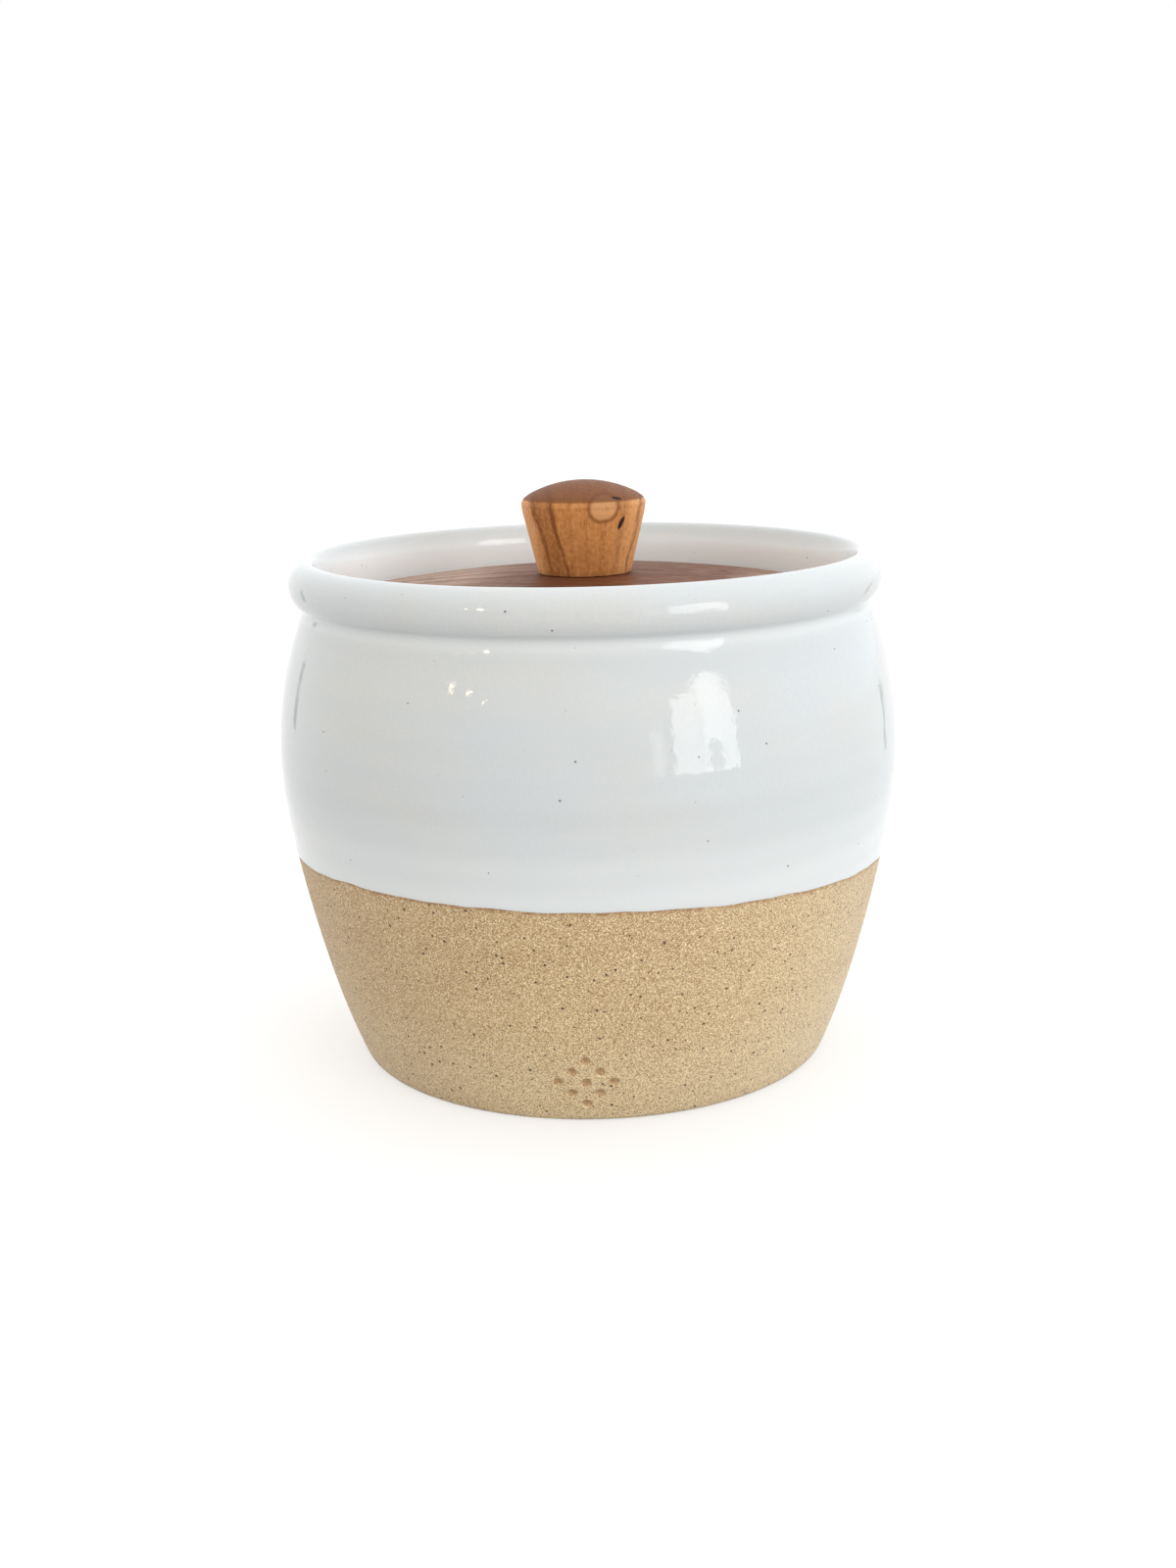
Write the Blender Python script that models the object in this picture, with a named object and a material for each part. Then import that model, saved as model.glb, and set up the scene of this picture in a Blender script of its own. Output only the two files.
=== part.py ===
"""Pickle crock: a thrown stoneware pot dipped in white glaze down to a band of bare clay, with a
turned wooden lid that drops onto a ledge inside the rim, and two half-moon weights that hold the
pickles under the brine.

Lengths are in metres and +Z is up. The origin lies on the pot's axis, on the face it stands on.
"""
import math

import bmesh
import bpy
from mathutils import Vector

# Clearances between pieces
CONTACT_GAP = 0.0003
LID_CLEARANCE = 0.0015
WEIGHT_CLEARANCE = 0.0010
WEIGHT_SPACING = 0.0030
SCREW_CLEARANCE = 0.0005

# Pot: foot, belly and shoulder, with the fullness of each curve as a share of its own rise
FOOT_RADIUS = 0.0736
FOOT_EDGE_ROUND = 0.0008
FOOT_LEAN = math.radians(28.3)
FOOT_FULLNESS = 0.180
BELLY_RADIUS = 0.0950
BELLY_HEIGHT = 0.0940
BELLY_FULLNESS_BELOW = 0.258
BELLY_FULLNESS_ABOVE = 0.387
SHOULDER_RADIUS = 0.0874
SHOULDER_HEIGHT = 0.1353
SHOULDER_LEAN = math.radians(20.0)
SHOULDER_FULLNESS = 0.339

# Pot: neck groove and rolled rim
NECK_GROOVE = 0.0010
NECK_WALL = 0.0070
RIM_RISE = 0.0189
RIM_HALF_HEIGHT = 0.0074
RIM_OUTER_ROUND = 0.0062
RIM_INNER_ROUND = 0.0032
RIM_UNDERCUT = math.radians(-60.0)

# Pot: ledge that carries the lid, with the cove under it
LEDGE_DEPTH = 0.0242
LEDGE_WIDTH = 0.0102
LEDGE_THICKNESS = 0.0066
LEDGE_CORNER_ROUND = 0.0012
GALLERY_HOLLOW = 0.0006
COVE_DROP = 0.0095
COVE_ROUND = 0.0060

# Pot: wall, floor and dip line
WALL = 0.0065
FLOOR_THICKNESS = 0.0080
FLOOR_CORNER_WIDTH = 0.0115
FLOOR_CORNER_HEIGHT = 0.0090
GLAZE_LINE_HEIGHT = 0.0628

# Lid
LID_EDGE_THICKNESS = 0.0100
LID_RISE = 0.0073
LID_TOP_ROUND = 0.0018
LID_BOTTOM_ROUND = 0.0010
KNOB_SEAT_MARGIN = 0.0008

# Knob
KNOB_FOOT_RADIUS = 0.0141
KNOB_RADIUS = 0.0191
KNOB_SIDE_HEIGHT = 0.0208
KNOB_EDGE_ROUND = 0.0022
KNOB_DOME_RISE = 0.0046

# Screw that holds the knob
SCREW_RADIUS = 0.0021
SCREW_CORE_RADIUS = 0.0014
SCREW_HEAD_RADIUS = 0.0040
SCREW_HEAD_RIM = 0.0004
SCREW_HEAD_RECESS = 0.0006
SCREW_BITE = 0.0152
SCREW_TIP_LENGTH = 0.0030
SCREW_PITCH = 0.0018
DRIVE_WIDTH = 0.0010
DRIVE_LENGTH = 0.0046
DRIVE_DEPTH = 0.0016

# Weights
WEIGHT_THICKNESS = 0.0140
WEIGHT_EDGE_ROUND = 0.0016
WEIGHT_CORNER_ROUND = 0.0060
FINGER_HOLE_RADIUS = 0.0100
FINGER_HOLE_OFFSET = 0.0260

# Facets round each turned piece, and rows of facets along one turn of the screw's thread
POT_FACETS = 64
KNOB_FACETS = 40
SCREW_FACETS = 12
THREAD_ROWS = 4
HOLE_FACETS = 24

# Sizes that follow from the ones above
RIM_HEIGHT = SHOULDER_HEIGHT + RIM_RISE
GALLERY_RADIUS = SHOULDER_RADIUS - NECK_WALL
RIM_CREST_RADIUS = GALLERY_RADIUS + RIM_INNER_ROUND
LEDGE_HEIGHT = RIM_HEIGHT - LEDGE_DEPTH
MOUTH_RADIUS = GALLERY_RADIUS - LEDGE_WIDTH
LID_RADIUS = GALLERY_RADIUS - LID_CLEARANCE
LID_UNDERSIDE = LEDGE_HEIGHT + CONTACT_GAP
LID_TOP = LID_UNDERSIDE + LID_EDGE_THICKNESS + LID_RISE
KNOB_SEAT_RADIUS = KNOB_FOOT_RADIUS + KNOB_SEAT_MARGIN
SCREW_HEAD_HEIGHT = LID_UNDERSIDE + SCREW_HEAD_RECESS
SCREW_HOLE_RADIUS = SCREW_RADIUS + SCREW_CLEARANCE
WEIGHT_UNDERSIDE = FLOOR_THICKNESS + CONTACT_GAP


def bezier(start, start_handle, end_handle, end, steps):
    """Points along a cubic curve in (radius, height), both ends included."""
    points = []
    for index in range(steps + 1):
        t = index / steps
        points.append(
            start * (1 - t) ** 3
            + start_handle * (3 * t * (1 - t) ** 2)
            + end_handle * (3 * t * t * (1 - t))
            + end * t ** 3
        )
    return points


def arc(centre, radius, height, start_angle, end_angle, steps):
    """Points along an elliptical arc, both ends included."""
    points = []
    for index in range(steps + 1):
        angle = start_angle + (end_angle - start_angle) * index / steps
        points.append(centre + Vector((radius * math.cos(angle), height * math.sin(angle))))
    return points


def cap_height(top, rim_radius, rise, radius):
    """Height at a radius on a shallow spherical cap of a given rise over its rim."""
    sphere_radius = (rim_radius ** 2 + rise ** 2) / (2 * rise)
    return top - sphere_radius + math.sqrt(sphere_radius ** 2 - radius ** 2)


def cap(top, rim_radius, rise, start_radius, end_radius, steps):
    """Points along a shallow spherical cap from one radius to another, both included."""
    points = []
    for index in range(steps + 1):
        radius = start_radius + (end_radius - start_radius) * index / steps
        points.append(Vector((radius, cap_height(top, rim_radius, rise, radius))))
    return points


def leaning(angle):
    """Unit direction in (radius, height) that leans outwards from straight up."""
    return Vector((math.sin(angle), math.cos(angle)))


def offset_inwards(points, distance):
    """A rising outline moved towards the axis by a wall thickness, square to itself."""
    moved = []
    for index, point in enumerate(points):
        before = points[max(index - 1, 0)]
        after = points[min(index + 1, len(points) - 1)]
        along = (after - before).normalized()
        moved.append(point + Vector((-along.y, along.x)) * distance)
    return moved


def split_at_height(points, height):
    """Adds a point where a rising outline crosses a height."""
    result = [points[0]]
    for lower, upper in zip(points, points[1:]):
        if lower.y < height < upper.y:
            result.append(lower.lerp(upper, (height - lower.y) / (upper.y - lower.y)))
        result.append(upper)
    return result


def material(name, colour, roughness, metallic=0.0, coat=0.0):
    """A plain surface for one kind of finish."""
    finish = bpy.data.materials.new(name)
    finish.use_nodes = True
    shader = finish.node_tree.nodes["Principled BSDF"]
    shader.inputs["Base Color"].default_value = (*colour, 1.0)
    shader.inputs["Roughness"].default_value = roughness
    shader.inputs["Metallic"].default_value = metallic
    shader.inputs["Coat Weight"].default_value = coat
    finish.diffuse_color = (*colour, 1.0)
    return finish


def finish_mesh(name, shape, finishes=()):
    """Closes an edit mesh with its faces pointing outwards, shaded smooth except at creases."""
    bmesh.ops.remove_doubles(shape, verts=shape.verts, dist=1e-7)
    bmesh.ops.recalc_face_normals(shape, faces=shape.faces)
    if shape.calc_volume(signed=True) < 0:
        bmesh.ops.reverse_faces(shape, faces=shape.faces)
    mesh = bpy.data.meshes.new(name)
    shape.to_mesh(mesh)
    shape.free()
    for finish in finishes:
        mesh.materials.append(finish)
    mesh.shade_smooth()
    mesh.set_sharp_from_angle(angle=math.radians(35))
    return mesh


def turned_mesh(name, outline, facets, finishes, base_height=0.0, closed=False):
    """Spins an outline of (radius, height) points round the axis."""
    shape = bmesh.new()
    verts = [shape.verts.new((point.x, 0.0, point.y - base_height)) for point in outline]
    pairs = list(zip(verts, verts[1:]))
    if closed:
        pairs.append((verts[-1], verts[0]))
    edges = [shape.edges.new(pair) for pair in pairs]
    bmesh.ops.spin(
        shape,
        geom=verts + edges,
        cent=(0.0, 0.0, 0.0),
        axis=(0.0, 0.0, 1.0),
        angle=2 * math.pi,
        steps=facets,
        use_merge=True,
    )
    return finish_mesh(name, shape, finishes)


def add_object(name, mesh, parent=None):
    """Places a mesh in the scene under its parent."""
    piece = bpy.data.objects.new(name, mesh)
    bpy.context.scene.collection.objects.link(piece)
    piece.parent = parent
    return piece


def add_axis(name, height):
    """An empty on the pot's axis that carries what lifts along it."""
    axis = add_object(name, None)
    axis.empty_display_size = 0.01
    axis.location.z = height
    return axis


def pot_wall():
    """The pot's outer outline from its foot up to where the neck begins."""
    foot = Vector((FOOT_RADIUS, FOOT_EDGE_ROUND))
    belly = Vector((BELLY_RADIUS, BELLY_HEIGHT))
    shoulder = Vector((SHOULDER_RADIUS, SHOULDER_HEIGHT))
    lower_rise = belly.y - foot.y
    upper_rise = shoulder.y - belly.y
    up = leaning(0.0)
    lower = bezier(
        foot,
        foot + leaning(FOOT_LEAN) * FOOT_FULLNESS * lower_rise,
        belly - up * BELLY_FULLNESS_BELOW * lower_rise,
        belly,
        steps=9,
    )
    upper = bezier(
        belly,
        belly + up * BELLY_FULLNESS_ABOVE * upper_rise,
        shoulder - leaning(-SHOULDER_LEAN) * SHOULDER_FULLNESS * upper_rise,
        shoulder,
        steps=6,
    )
    return lower + upper[1:]


def neck_and_rim(shoulder, rim_centre):
    """The outer outline from the shoulder through the neck groove and over to the rim's crest."""
    roll = arc(rim_centre, RIM_OUTER_ROUND, RIM_HALF_HEIGHT, RIM_UNDERCUT, math.pi / 2, steps=8)
    roll_start = Vector((
        -RIM_OUTER_ROUND * math.sin(RIM_UNDERCUT),
        RIM_HALF_HEIGHT * math.cos(RIM_UNDERCUT),
    )).normalized()
    groove = bezier(
        shoulder,
        shoulder + leaning(-SHOULDER_LEAN) * NECK_GROOVE,
        roll[0] - roll_start * NECK_GROOVE,
        roll[0],
        steps=3,
    )
    return groove[1:] + roll[1:]


def gallery_and_ledge(rim_centre):
    """The inner outline from the rim's crest down the gallery and round the ledge's nose."""
    roll = arc(rim_centre, RIM_INNER_ROUND, RIM_HALF_HEIGHT, math.pi / 2, math.pi, steps=4)
    hollow = Vector((GALLERY_RADIUS + GALLERY_HOLLOW, (rim_centre.y + LEDGE_HEIGHT) / 2))
    corner = arc(
        Vector((GALLERY_RADIUS - LEDGE_CORNER_ROUND, LEDGE_HEIGHT + LEDGE_CORNER_ROUND)),
        LEDGE_CORNER_ROUND,
        LEDGE_CORNER_ROUND,
        0.0,
        -math.pi / 2,
        steps=2,
    )
    nose_radius = LEDGE_THICKNESS / 2
    nose = arc(
        Vector((MOUTH_RADIUS + nose_radius, LEDGE_HEIGHT - nose_radius)),
        nose_radius,
        nose_radius,
        math.pi / 2,
        math.pi * 3 / 2,
        steps=6,
    )
    return roll[1:] + [hollow] + corner + nose


def pot_inside(wall, nose_bottom):
    """The inner outline from under the ledge down the wall to the edge of the flat floor."""
    cove_bottom = nose_bottom.y - COVE_DROP
    corner_top = FLOOR_THICKNESS + FLOOR_CORNER_HEIGHT
    inner_wall = offset_inwards(wall, WALL)
    inner_wall = split_at_height(split_at_height(inner_wall, cove_bottom), corner_top)
    inner_wall = [point for point in inner_wall if corner_top <= point.y <= cove_bottom]
    inner_wall.reverse()
    cove = bezier(
        nose_bottom,
        nose_bottom + Vector((COVE_ROUND, 0.0)),
        inner_wall[0] + (inner_wall[0] - inner_wall[1]).normalized() * COVE_ROUND,
        inner_wall[0],
        steps=5,
    )
    floor_edge = Vector((inner_wall[-1].x - FLOOR_CORNER_WIDTH, FLOOR_THICKNESS))
    floor_corner = bezier(
        inner_wall[-1],
        inner_wall[-1] + (inner_wall[-1] - inner_wall[-2]).normalized() * FLOOR_CORNER_HEIGHT / 2,
        floor_edge + Vector((FLOOR_CORNER_WIDTH / 2, 0.0)),
        floor_edge,
        steps=4,
    )
    return cove[1:] + inner_wall[1:] + floor_corner[1:]


def make_pot(glaze, clay):
    """The stoneware pot, glazed inside and above the dip line. Returns its flat floor's radius."""
    rim_centre = Vector((RIM_CREST_RADIUS, RIM_HEIGHT - RIM_HALF_HEIGHT))
    wall = pot_wall()
    ledge = gallery_and_ledge(rim_centre)
    inside = pot_inside(wall, ledge[-1])
    outline = [Vector((0.0, 0.0)), Vector((FOOT_RADIUS - FOOT_EDGE_ROUND, 0.0))]
    outline += split_at_height(wall, GLAZE_LINE_HEIGHT)
    outline += neck_and_rim(wall[-1], rim_centre)
    outline += ledge + inside + [Vector((0.0, FLOOR_THICKNESS))]
    mesh = turned_mesh("crock_body", outline, POT_FACETS, [glaze, clay])
    for face in mesh.polygons:
        outwards = face.normal.x * face.center.x + face.normal.y * face.center.y
        underneath = face.center.z < FOOT_EDGE_ROUND
        if face.center.z < GLAZE_LINE_HEIGHT and (outwards > 0 or underneath):
            face.material_index = 1
    add_object("crock_body", mesh)
    return inside[-1].x


def make_lid(wood, axis, seat_height):
    """The domed lid, flat underneath, drilled and countersunk for the knob's screw."""
    dome = cap(LID_TOP, LID_RADIUS, LID_RISE, KNOB_SEAT_RADIUS, LID_RADIUS - LID_TOP_ROUND, steps=5)
    top_round = arc(
        dome[-1] - Vector((0.0, LID_TOP_ROUND)),
        LID_TOP_ROUND,
        LID_TOP_ROUND,
        math.pi / 2,
        0.0,
        steps=3,
    )
    bottom_round = arc(
        Vector((LID_RADIUS - LID_BOTTOM_ROUND, LID_UNDERSIDE + LID_BOTTOM_ROUND)),
        LID_BOTTOM_ROUND,
        LID_BOTTOM_ROUND,
        0.0,
        -math.pi / 2,
        steps=2,
    )
    sink_radius = SCREW_HEAD_RADIUS + SCREW_CLEARANCE
    sink_rim = SCREW_HEAD_HEIGHT + SCREW_HEAD_RIM
    bore = [
        Vector((sink_radius, LID_UNDERSIDE)),
        Vector((sink_radius, sink_rim)),
        Vector((SCREW_HOLE_RADIUS, sink_rim + sink_radius - SCREW_HOLE_RADIUS)),
        Vector((SCREW_HOLE_RADIUS, seat_height)),
    ]
    outline = dome + top_round[1:] + bottom_round + bore
    mesh = turned_mesh("lid_disc", outline, POT_FACETS, [wood], LID_UNDERSIDE, closed=True)
    add_object("lid_disc", mesh, axis)


def make_knob(wood, axis, foot_height, screw_length):
    """The knob: a cone that widens upwards to a soft edge under a low domed top."""
    side_top = foot_height + KNOB_SIDE_HEIGHT
    edge = arc(
        Vector((KNOB_RADIUS - KNOB_EDGE_ROUND, side_top)),
        KNOB_EDGE_ROUND,
        KNOB_EDGE_ROUND,
        0.0,
        math.radians(65),
        steps=3,
    )
    top = side_top + KNOB_EDGE_ROUND + KNOB_DOME_RISE
    dome = cap(top, edge[-1].x, top - edge[-1].y, edge[-1].x, 0.0, steps=6)
    pilot_top = SCREW_HEAD_HEIGHT + screw_length + SCREW_CLEARANCE
    pilot = [
        Vector((0.0, pilot_top)),
        Vector((SCREW_HOLE_RADIUS, pilot_top - SCREW_TIP_LENGTH)),
        Vector((SCREW_HOLE_RADIUS, foot_height)),
    ]
    outline = pilot + [Vector((KNOB_FOOT_RADIUS, foot_height))] + edge + dome[1:]
    mesh = turned_mesh("lid_knob", outline, KNOB_FACETS, [wood], LID_UNDERSIDE)
    add_object("lid_knob", mesh, axis)


def thread_radius(turn_share):
    """Radius of the screw's thread at a share of one turn along its pitch."""
    ridge = max(0.0, 1 - 4 * abs(turn_share - 0.5))
    return SCREW_CORE_RADIUS + (SCREW_RADIUS - SCREW_CORE_RADIUS) * ridge


def screw_rings(length):
    """Heights and radii of the rings of points from the screw's head to the foot of its tip."""
    plain = [SCREW_CORE_RADIUS] * SCREW_FACETS
    head = [SCREW_HEAD_RADIUS] * SCREW_FACETS
    thread_start = length - SCREW_BITE
    row_step = SCREW_PITCH / THREAD_ROWS
    row_count = round((SCREW_BITE - SCREW_TIP_LENGTH) / row_step)
    rings = [
        (0.0, head),
        (SCREW_HEAD_RIM, head),
        (SCREW_HEAD_RIM + SCREW_HEAD_RADIUS - SCREW_CORE_RADIUS, plain),
        (thread_start, plain),
    ]
    for row in range(1, row_count):
        turn = row / THREAD_ROWS
        radii = [thread_radius((turn - facet / SCREW_FACETS) % 1.0) for facet in range(SCREW_FACETS)]
        rings.append((thread_start + row * row_step, radii))
    rings.append((length - SCREW_TIP_LENGTH, plain))
    return rings


def make_screw(steel, axis, length):
    """A countersunk wood screw with a cross drive, driven up from under the lid."""
    shape = bmesh.new()
    rings = []
    for height, radii in screw_rings(length):
        ring = []
        for facet, radius in enumerate(radii):
            angle = 2 * math.pi * facet / SCREW_FACETS
            ring.append(shape.verts.new((radius * math.cos(angle), radius * math.sin(angle), height)))
        rings.append(ring)
    tip = shape.verts.new((0.0, 0.0, length))
    for facet in range(SCREW_FACETS):
        following = (facet + 1) % SCREW_FACETS
        for low, high in zip(rings, rings[1:]):
            shape.faces.new((low[facet], low[following], high[following], high[facet]))
        shape.faces.new((rings[-1][facet], rings[-1][following], tip))
    shape.faces.new(list(reversed(rings[0])))
    screw = add_object("knob_screw", finish_mesh("knob_screw", shape, [steel]), axis)
    screw.location.z = SCREW_HEAD_RECESS

    blade = bmesh.new()
    bmesh.ops.create_cube(blade, size=1.0)
    bmesh.ops.scale(blade, vec=(DRIVE_LENGTH, DRIVE_WIDTH, 2 * DRIVE_DEPTH), verts=blade.verts)
    blade_mesh = finish_mesh("drive_blade", blade)
    for name, turn in (("drive_slot", 0.0), ("drive_cross", math.pi / 2)):
        cutter = add_object(name, blade_mesh, screw)
        cutter.rotation_euler.z = turn
        cutter.hide_render = True
        cutter.display_type = "WIRE"
        cut = screw.modifiers.new(name, "BOOLEAN")
        cut.object = cutter


def half_moon(radius):
    """Half-moon outline: a straight side with two rounded corners, then the arc."""
    corner = WEIGHT_CORNER_ROUND
    corner_x = WEIGHT_SPACING / 2 + corner
    corner_y = math.sqrt((radius - corner) ** 2 - corner_x ** 2)
    sweep = math.atan2(corner_y, corner_x)
    points = arc(Vector((corner_x, -corner_y)), corner, corner, -math.pi, -sweep, steps=5)
    points += arc(Vector((0.0, 0.0)), radius, radius, -sweep, sweep, steps=28)[1:-1]
    points += arc(Vector((corner_x, corner_y)), corner, corner, sweep, math.pi, steps=5)
    return points


def weight_mesh(clay, radius):
    """A half-moon slab with a finger hole and softened edges."""
    hole_centre = Vector((FINGER_HOLE_OFFSET, 0.0))
    hole = arc(hole_centre, FINGER_HOLE_RADIUS, FINGER_HOLE_RADIUS, 0.0, 2 * math.pi, HOLE_FACETS)
    shape = bmesh.new()
    edges = []
    for loop in (half_moon(radius), hole[:-1]):
        verts = [shape.verts.new((point.x, point.y, 0.0)) for point in loop]
        edges += [shape.edges.new((verts[index - 1], verts[index])) for index in range(len(verts))]
    bmesh.ops.triangle_fill(shape, use_beauty=True, edges=edges)
    raised = bmesh.ops.extrude_face_region(shape, geom=shape.faces[:])
    raised_verts = [item for item in raised["geom"] if isinstance(item, bmesh.types.BMVert)]
    bmesh.ops.translate(shape, vec=(0.0, 0.0, WEIGHT_THICKNESS), verts=raised_verts)
    bmesh.ops.recalc_face_normals(shape, faces=shape.faces)
    rims = [edge for edge in shape.edges if edge.calc_face_angle() > math.radians(60)]
    bmesh.ops.bevel(
        shape,
        geom=rims,
        offset=WEIGHT_EDGE_ROUND,
        offset_type="OFFSET",
        segments=2,
        profile=0.5,
        affect="EDGES",
    )
    return finish_mesh("half_moon_weight", shape, [clay])


def make_weights(clay, floor_radius):
    """The two half-moon weights, lying side by side on the pot's floor."""
    mesh = weight_mesh(clay, floor_radius - WEIGHT_CLEARANCE)
    for name, turn in (("weight_right", 0.0), ("weight_left", math.pi)):
        axis = add_axis(f"{name}_axis", WEIGHT_UNDERSIDE)
        axis.rotation_euler.z = turn
        add_object(name, mesh, axis)


def main():
    for item in list(bpy.data.objects):
        bpy.data.objects.remove(item)

    white_glaze = material("white_glaze", (0.67, 0.68, 0.69), roughness=0.18, coat=0.5)
    bare_clay = material("bare_clay", (0.60, 0.44, 0.25), roughness=0.85)
    dark_wood = material("dark_wood", (0.17, 0.075, 0.045), roughness=0.40)
    light_wood = material("light_wood", (0.42, 0.20, 0.075), roughness=0.45)
    steel = material("stainless_steel", (0.62, 0.62, 0.60), roughness=0.30, metallic=1.0)

    floor_radius = make_pot(white_glaze, bare_clay)
    make_weights(bare_clay, floor_radius)

    lid_axis = add_axis("lid_axis", LID_UNDERSIDE)
    seat_height = cap_height(LID_TOP, LID_RADIUS, LID_RISE, KNOB_SEAT_RADIUS)
    knob_foot_height = seat_height + CONTACT_GAP
    screw_length = knob_foot_height - SCREW_HEAD_HEIGHT + SCREW_BITE
    make_lid(dark_wood, lid_axis, seat_height)
    make_knob(light_wood, lid_axis, knob_foot_height, screw_length)
    make_screw(steel, lid_axis, screw_length)


main()
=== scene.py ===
"""Pickle crock, dressed for its picture: a thrown stoneware pot dipped in white glaze down to a band
of bare clay, a dark turned lid with a pale turned knob, the screw that holds the knob and the two
half-moon weights inside.

The file is laid out as an add-on with one operator for each piece. Run as a script, it makes every
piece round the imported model. Lengths are in metres and +Z is up along the pot's axis.
"""

import math
from functools import partialmethod

import bmesh
import bpy
import numpy as np
from bpy.props import FloatProperty, FloatVectorProperty, IntProperty, PointerProperty
from mathutils import Matrix, Vector


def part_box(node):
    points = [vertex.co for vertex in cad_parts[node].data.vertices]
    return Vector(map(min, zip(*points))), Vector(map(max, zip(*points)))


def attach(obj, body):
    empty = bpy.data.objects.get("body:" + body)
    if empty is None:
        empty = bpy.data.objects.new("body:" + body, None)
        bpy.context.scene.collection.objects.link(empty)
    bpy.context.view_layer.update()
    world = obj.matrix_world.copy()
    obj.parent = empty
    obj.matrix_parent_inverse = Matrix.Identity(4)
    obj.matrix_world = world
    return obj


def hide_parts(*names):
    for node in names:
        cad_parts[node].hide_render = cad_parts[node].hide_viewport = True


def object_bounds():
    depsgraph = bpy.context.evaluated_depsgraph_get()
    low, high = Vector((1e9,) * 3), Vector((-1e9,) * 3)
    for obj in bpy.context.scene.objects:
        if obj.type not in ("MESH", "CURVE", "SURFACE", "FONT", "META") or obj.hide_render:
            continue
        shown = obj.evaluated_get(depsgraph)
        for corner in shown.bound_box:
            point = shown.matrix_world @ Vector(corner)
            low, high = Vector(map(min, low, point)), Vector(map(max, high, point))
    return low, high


bl_info = {
    "name": "Pickle crock",
    "version": (1, 0, 0),
    "blender": (4, 5, 0),
    "location": "View3D > Sidebar > Crock",
    "description": "Dresses the packed pickle crock in glaze, bare clay, turned wood and steel",
    "category": "Object",
}

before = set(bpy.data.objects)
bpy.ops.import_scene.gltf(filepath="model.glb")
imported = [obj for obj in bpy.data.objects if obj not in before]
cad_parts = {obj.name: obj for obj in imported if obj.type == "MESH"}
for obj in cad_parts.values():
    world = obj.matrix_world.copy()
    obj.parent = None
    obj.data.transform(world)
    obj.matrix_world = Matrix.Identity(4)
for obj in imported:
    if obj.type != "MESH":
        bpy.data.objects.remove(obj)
CAD_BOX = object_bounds()

# How near two points count as one, and a full turn
SAME_PLACE = 1e-6
FULL_TURN = 2 * math.pi

# How an outline is read: a sharp turn between long sides is a corner, and a very long side is straight,
# so it gets a point close to either end. The curves between are drawn in small steps
SHARP_TURN = math.radians(40)
CORNER_SIDE = 0.00095
STRAIGHT_SIDE = 0.0133
STRAIGHT_END = 0.0008
CURVE_STEP = 0.00005

# Edges that fold by more than this look sharp
CREASE = math.radians(32)

# How far along the pot's wall its rings, trimming lines and wobble take to swing by a radian
RING_SWING = 0.023
TRIM_SWINGS = (0.00042, 0.00067)
WOBBLE_SWING = 0.019

# Lengths along the wall over which these fade in or out: over the foot and the dip line, under the
# neck, inside the mouth and past the rim's crest, where the glaze also pools and is painted paler as
# painted light that lifts the shade
FOOT_FADE = 0.010
INSET_FADE = 0.003
TRIM_FADE = 0.004
DIP_FADE = 0.004
NECK_FADE = 0.012
INSIDE_START, INSIDE_END = 0.012, 0.030
SEAT_START, SEAT_END = 0.003, 0.008
POOL_START, POOL_END = 0.002, 0.010

# The clay at the dip line: rows of faces that follow it, where the glaze starts to cover it, and how
# deep it then lies, as a share of the glaze's thickness
DIP_ROWS = (-0.0002, 0.0, 0.0003, 0.001, 0.002)
COVER_START, COVER_END = 0.0003, 0.0015
COVERED_SHARE = 0.6

# Grains stand further under the dip line and nearer to the true wall than this. A point deeper in
# the wall is no part of the outside, and counts as far from the line
GRAIN_MARGIN = 0.0008
GRAIN_DEPTH = 0.0001
WALL_DEPTH = 0.002
FAR_FROM_DIP = 1.0

# Rows of the pot: how near to the outer wall a row lies to be outside, how far under the mouth the
# inner rows start to be coarser and by how much, how far over the glaze's lip its face and underside
# stop, and how many points are on the lip
NEAR_WALL = 0.0004
UNDER_MOUTH = 0.006
COARSER = 1.5
FACE_GAP = 0.0004
UNDERSIDE_GAP = 0.0020
LIP_POINTS = 9

# The dots: how far their diamond leans from lying flat, and its turn onto one corner
DIAMOND_LEAN = math.radians(115)
DIAMOND_POINT = math.radians(45)

# The weights: edges that fold by more than this are rounded, in so many rows of faces
ROUNDED_FOLD = math.radians(60)
ROUNDED_ROWS = 5

# The knob: its eased shoulder starts this far under its top, and its foot ends this far up. Its grain
# bands are place at the foot and the top, half width and strength, and its other marks are ovals, as
# middle, radii and turn
SHOULDER_DEPTH = 0.010
KNOB_FOOT = 0.001
KNOB_BANDS = (
    (-0.0130, -0.0147, 0.0010, 0.75), (-0.0100, -0.0125, 0.0040, 0.36), (-0.0068, -0.0103, 0.0012, 0.85),
    (0.0110, 0.0122, 0.0016, 0.28), (0.0162, 0.0174, 0.0007, 0.60),
)
KNOT = ((0.0060, 0.0, 0.1680), (0.0038, 0.0036), 0.0)
CRACK = ((0.0110, 0.0, 0.1633), (0.0007, 0.0026), math.radians(-27))
SPLIT = ((0.0098, 0.0, 0.1706), (0.0019, 0.0004), math.radians(-14))

# The screw's steel, as screen values
BRIGHT_STEEL = (205, 205, 202)
DULL_STEEL = (176, 176, 174)

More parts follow.
